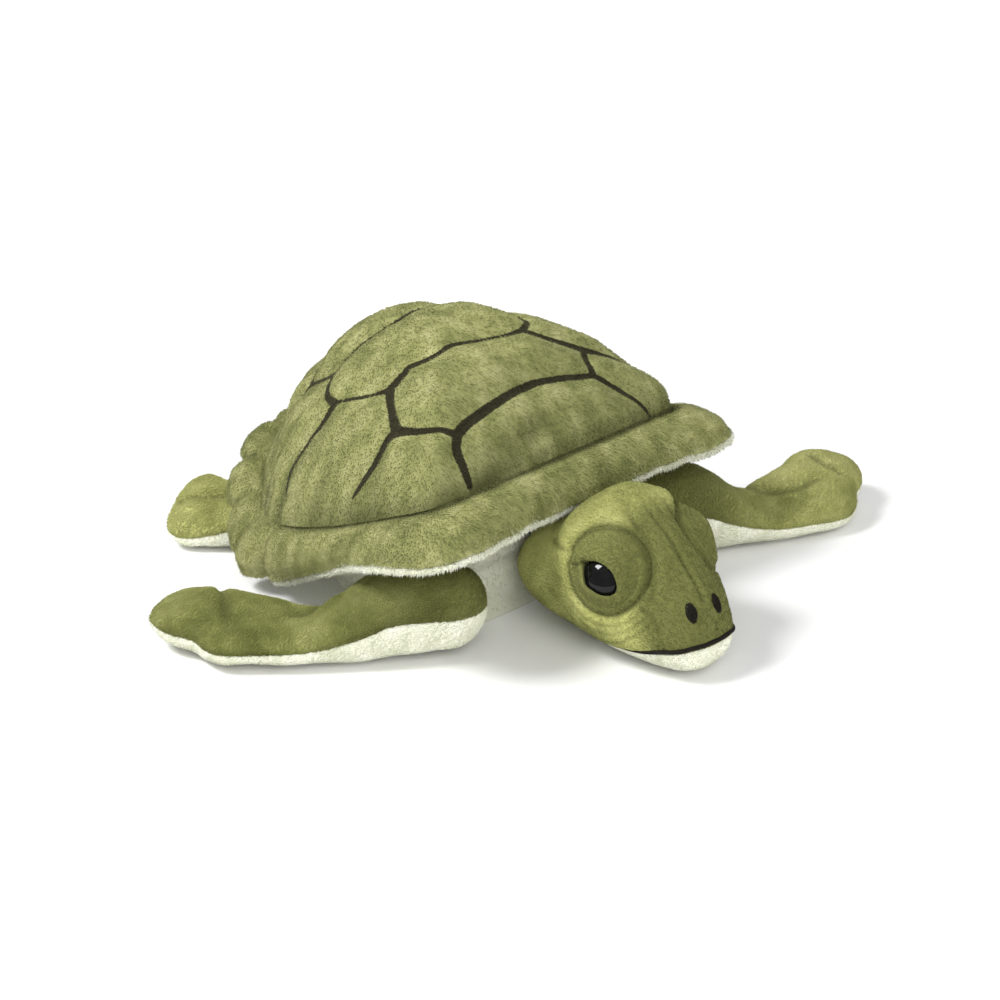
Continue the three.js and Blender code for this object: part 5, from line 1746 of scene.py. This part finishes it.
    def nostril(self, surface: BVHTree, side: Side) -> bpy.types.Object:
        """An embroidered nostril: satin stitches laid side by side."""
        out = unit(self.direction((1, 0, 0)) + UP)
        across = self.direction((0, 1, 0))
        lift = unit(np.cross(out, across))
        lift = lift if lift[2] > 0 else -lift
        middle = self.world(np.array(self.nostril_place) * (1, side.value, 1))
        half_width, half_height = self.nostril_half
        rings = []
        for reach in np.linspace(1.0, 0.08, 10):
            ring = []
            for turn in circle(48):
                aside, up = half_width * reach * math.cos(turn), half_height * reach * math.sin(turn)
                stitch = 0.16 * math.cos(aside * 2 * math.pi / self.stitch_width)
                seat = laid(surface, middle + across * aside + lift * up, out, 15)
                ring.append(seat + out * (-0.25 + 0.95 * (1 - reach**4) + stitch))
            rings.append(ring)
        grid = np.array(rings)
        skin = Skin(grid, start=middle - out * 1.2, end=grid[-1].mean(0))
        return outward_faces(skin.make(f"nostril_stitch_{side.word}", 0.3))

    def mouth(self, surface: BVHTree) -> bpy.types.Object:
        """The dark stitched line of the mouth, just above the chin's seam."""
        pairs = []
        for row in self.table():
            share = row[0] / self.length
            if self.mouth_rear_share < share < 0.985:
                above = 0.9 + 1.1 * smoothstep(0.78, 0.92, share)
                limit = self.seam_turn(row) - above / max(row[1], 4.0)
                pairs.append(self.ring(row, np.array([-limit, limit])))
        right, left = np.array(pairs).transpose(1, 0, 2)
        path = np.vstack([right, left[::-1]])
        run = np.concatenate([[0.0], np.cumsum(np.linalg.norm(np.diff(path, axis=0), axis=1))])
        even = np.linspace(0, run[-1], 260)
        path = np.stack([np.interp(even, run, path[:, axis]) for axis in range(3)], 1)
        out = unit(self.world(path) - self.world(path * np.array([0.82, 0.0, 1.0])))
        seats = [laid(surface, spot, way, 12) for spot, way in zip(self.world(path), out)]
        path = np.array(seats) + 0.15 * out
        for _ in range(6):
            path[1:-1] = (path[:-2] + 2 * path[1:-1] + path[2:]) / 4
        share = np.abs(np.linspace(-1, 1, len(path)))
        return tube(path, 0.3 + 0.55 * smoothstep(1.0, 0.5, share), "mouth_stitch", path.mean(0))

    def neck(self) -> Skin:
        """The short cream neck between body and head."""
        skin = ball((0.0, self.neck_y, self.neck_height), [self.neck_radius] * 3, 0.48)
        skin.swell(noise_at(skin.points, (9, 9, 6), 95.0) * 0.5)
        return skin

    def build(self, shop: Workshop) -> None:
        """Makes the head's and the neck's pieces."""
        neck = self.neck().make("neck_tube", self.cloth)
        shop.finish(neck, CREAM, "neck", "plush_cream", ["neck_cover"], 0.7)
        cover = self.cover().make("head_plush", self.cloth)
        surface = BVHTree.FromPolygons([vertex.co for vertex in cover.data.vertices],
                                       [polygon.vertices for polygon in cover.data.polygons])
        shop.finish(cover, GREEN_HEAD, "head", "plush_green", ["head_cover"], 0.9,
                    Pile(30000, 0.8, 0.22, (0.0, 0.8, 0.2), 0.4, seed=8))
        chin = self.chin().make("chin_plush", self.cloth)
        shop.finish(chin, CREAM, "head", "plush_cream", ["chin_panel"], 0.7,
                    Pile(7000, 0.8, 0.24, (0.0, 0.8, -0.2), 0.4, seed=9))
        mouth = self.mouth(surface)
        shop.finish(mouth, THREAD, "head", "thread_dark", ["mouth_line"])
        for side in Side:
            disc = self.patch(surface, side)
            shop.finish(disc, GREEN_HEAD, "head", "plush_green", [f"eye_patch_{side.word}"], 0.4,
                        Pile(5000, 0.7, 0.2, (0.0, 0.6, -0.4), 0.35, seed=10))
            shop.finish(self.eyeball(surface, side), EYE_BLACK, "head", "eye_black", [f"eye_{side.word}"])
            shop.finish(self.nostril(surface, side), THREAD, "head", "thread_dark", [f"nostril_{side.word}"])


# Fillings


@dataclass
class Filling:
    """A lump of loose fibre inside a cover, rounded from its solid.

    Attributes:
        node: The node that it stands for.
        body: The body that it rides on.
        inset: How far it keeps inside its solid, in millimetres.
        voxel: Size of its remesh, in millimetres.
    """

    node: str
    body: str
    inset: float = 2.6
    voxel: float = 2.4

    def build(self, shop: Workshop, frame: dict) -> None:
        """Makes the filling."""
        source = frame["nodes"][self.node]
        holder = linked(f"{self.node}_fibre", source.data.copy())
        form = bmesh.new()
        form.from_mesh(holder.data)
        bmesh.ops.remove_doubles(form, verts=form.verts, dist=1e-6)
        form.to_mesh(holder.data)
        form.free()
        remesh = holder.modifiers.new("remesh", "REMESH")
        remesh.mode = "VOXEL"
        remesh.voxel_size = self.voxel * MM
        smooth = holder.modifiers.new("smooth", "SMOOTH")
        smooth.iterations = 6
        piece = plain(holder, f"{self.node}_fibre")
        mesh = piece.data
        places = np.array([vertex.co for vertex in mesh.vertices]) / MM
        normals = np.array([vertex.normal for vertex in mesh.vertices])
        tufts = noise_at(places, (5, 5, 5), 101.0) * 0.7
        moved = places + normals * (tufts - self.inset)[:, None]
        mesh.vertices.foreach_set("co", (moved * MM).astype(np.float32).ravel())
        mesh.polygons.foreach_set("use_smooth", np.ones(len(mesh.polygons), bool))
        shop.finish(piece, FIBRE, self.body, "fibre_filling", [self.node], 0.6)


@dataclass
class Pouch:
    """The flat cotton bag of pellets that lies in the belly."""

    half_width: float = 20.5
    half_length: float = 28.5
    half_height: float = 5.6
    middle: tuple[float, float, float] = (0.0, 16.0, 9.3)

    def build(self, shop: Workshop) -> None:
        """Makes the bag, pinched along its sewn edge and bumpy with pellets."""
        skin = ball(self.middle, (self.half_width, self.half_length, self.half_height), 0.49, 0.6)
        rows = np.linspace(-0.49 * math.pi, 0.49 * math.pi, len(skin.points))[:, None]
        skin.swell(noise_at(skin.points, (3.2, 3.2, 3.2), 111.0) * 0.35 + bell(rows, 0.1) * 0.7)
        piece = skin.make("pellet_bag", 0.5)
        shop.finish(piece, POUCH_CLOTH, "trunk", "pouch_cloth", ["pellet_pouch"], 0.7)


# Stage


@dataclass
class Stage:
    """Pale floor, soft lamps and the camera at the photograph's angle."""

    azimuth: float = -47.0
    elevation: float = 24.0
    distance: float = 1.0
    focal_length: float = 94.68
    target: tuple[float, float, float] = (0.0, -0.0062, 0.0339)
    lamps: tuple = (
        ("key", (-0.66, 0.36, 0.93), 0.36, 12.5, True),
        ("front", (-0.6, -0.95, 0.7), 1.0, 9.5, False),
        ("side", (0.9, -0.7, 0.5), 0.8, 3.0, False),
    )
    floor_half: float = 6.0
    floor_grey: float = 0.9
    world_light: float = 0.5
    world_seen: float = 1.25

    def build(self) -> None:
        """Makes the floor, the world, the lamps and the camera."""
        self._floor()
        self._world()
        for lamp in self.lamps:
            self._lamp(*lamp)
        self._camera()
        bpy.context.scene.view_settings.view_transform = "Standard"

    def _floor(self) -> None:
        """Makes the floor: matt, and whiter towards the distance where the camera sees it."""
        half = self.floor_half / MM
        corners_flat = [(-half, -half, 0), (half, -half, 0), (half, half, 0), (-half, half, 0)]
        floor = mesh_object("floor", corners_flat, [(0, 1, 2, 3)])
        nodes = MaterialNodes("floor white")
        seen = nodes.add("ShaderNodeLightPath").outputs["Is Camera Ray"]
        far = nodes.range(nodes.vector("LENGTH", nodes.place), 0.13, 0.5, 0.0, 0.8)
        matt = nodes.add("ShaderNodeBsdfDiffuse", {"Color": (self.floor_grey,) * 3})
        glow = nodes.add("ShaderNodeEmission", {"Strength": nodes.math("MULTIPLY", seen, far)})
        both = nodes.add("ShaderNodeAddShader", {0: matt.outputs[0], 1: glow.outputs[0]})
        nodes.add("ShaderNodeOutputMaterial", {"Surface": both.outputs[0]})
        floor.data.materials.append(nodes.material)

    def _world(self) -> None:
        """Makes the world: dim as a light, and white where the camera sees it."""
        world = bpy.data.worlds.new("studio")
        bpy.context.scene.world = world
        world.use_nodes = True
        nodes = Nodes(world.node_tree)
        path = nodes.add("ShaderNodeLightPath").outputs
        seen = nodes.math("MAXIMUM", path["Is Camera Ray"], path["Is Transmission Ray"])
        strength = nodes.range(seen, 0.0, 1.0, self.world_light, self.world_seen)
        ground = nodes.add("ShaderNodeBackground", {"Strength": strength})
        nodes.add("ShaderNodeOutputWorld", {"Surface": ground.outputs[0]})

    def _lamp(self, name: str, place: Sequence[float], size: float, power: float, glints: bool) -> None:
        """Adds a square lamp that points at the turtle.

        Args:
            name: Its name.
            place: Where it stands, in metres.
            size: Its side, in metres.
            power: Its power, in watts.
            glints: True if polished faces mirror it.
        """
        light = bpy.data.lights.new(name, "AREA")
        light.size = size
        light.energy = power
        lamp = linked(name, light)
        lamp.location = place
        lamp.visible_glossy = glints
        self._aim(lamp, Vector(self.target) - Vector(place))

    def _camera(self) -> None:
        """Adds the camera at the photograph's angle."""
        camera = bpy.data.cameras.new("camera")
        camera.lens = self.focal_length
        camera.sensor_width = 36.0
        camera.clip_start = 0.05
        holder = linked("camera", camera)
        turn, rise = math.radians(self.azimuth), math.radians(self.elevation)
        back = Vector((math.sin(turn) * math.cos(rise), -math.cos(turn) * math.cos(rise), math.sin(rise)))
        holder.location = Vector(self.target) + back * self.distance
        self._aim(holder, -back)
        bpy.context.scene.camera = holder

    @staticmethod
    def _aim(item: bpy.types.Object, way: Vector) -> None:
        """Turns a lamp or a camera to look along a direction."""
        item.rotation_mode = "QUATERNION"
        item.rotation_quaternion = way.to_track_quat("-Z", "Y")


FILLINGS = (
    Filling("body_stuffing", "trunk", 3.2, 3.0),
    Filling("neck_stuffing", "neck", 1.2),
    Filling("head_stuffing", "head", 3.0),
    Filling("front_flipper_left_stuffing", "front_flipper_left", 2.4, 1.8),
    Filling("front_flipper_right_stuffing", "front_flipper_right", 2.4, 1.8),
    Filling("rear_flipper_left_stuffing", "rear_flipper_left", 2.8, 1.8),
    Filling("rear_flipper_right_stuffing", "rear_flipper_right", 2.8, 1.8),
    Filling("shoulder_wad_left", "shoulder_left", 0.8, 1.6),
    Filling("shoulder_wad_right", "shoulder_right", 0.8, 1.6),
)


def main() -> None:
    """Builds the turtle's looks round its frame."""
    logging.basicConfig(level=logging.INFO, format="%(name)s: %(message)s")
    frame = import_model()
    Stage().build()
    shop = Workshop()
    Shell().build(shop)
    for side in Side:
        front_flipper(side).build(shop)
        rear_flipper(side).build(shop)
    Head().build(shop)
    for filling in FILLINGS:
        filling.build(shop, frame)
    Pouch().build(shop)
    for side in Side:
        shop.dress(frame["nodes"][f"eye_washer_{side.word}"], NYLON)


if __name__ == "__main__":
    main()
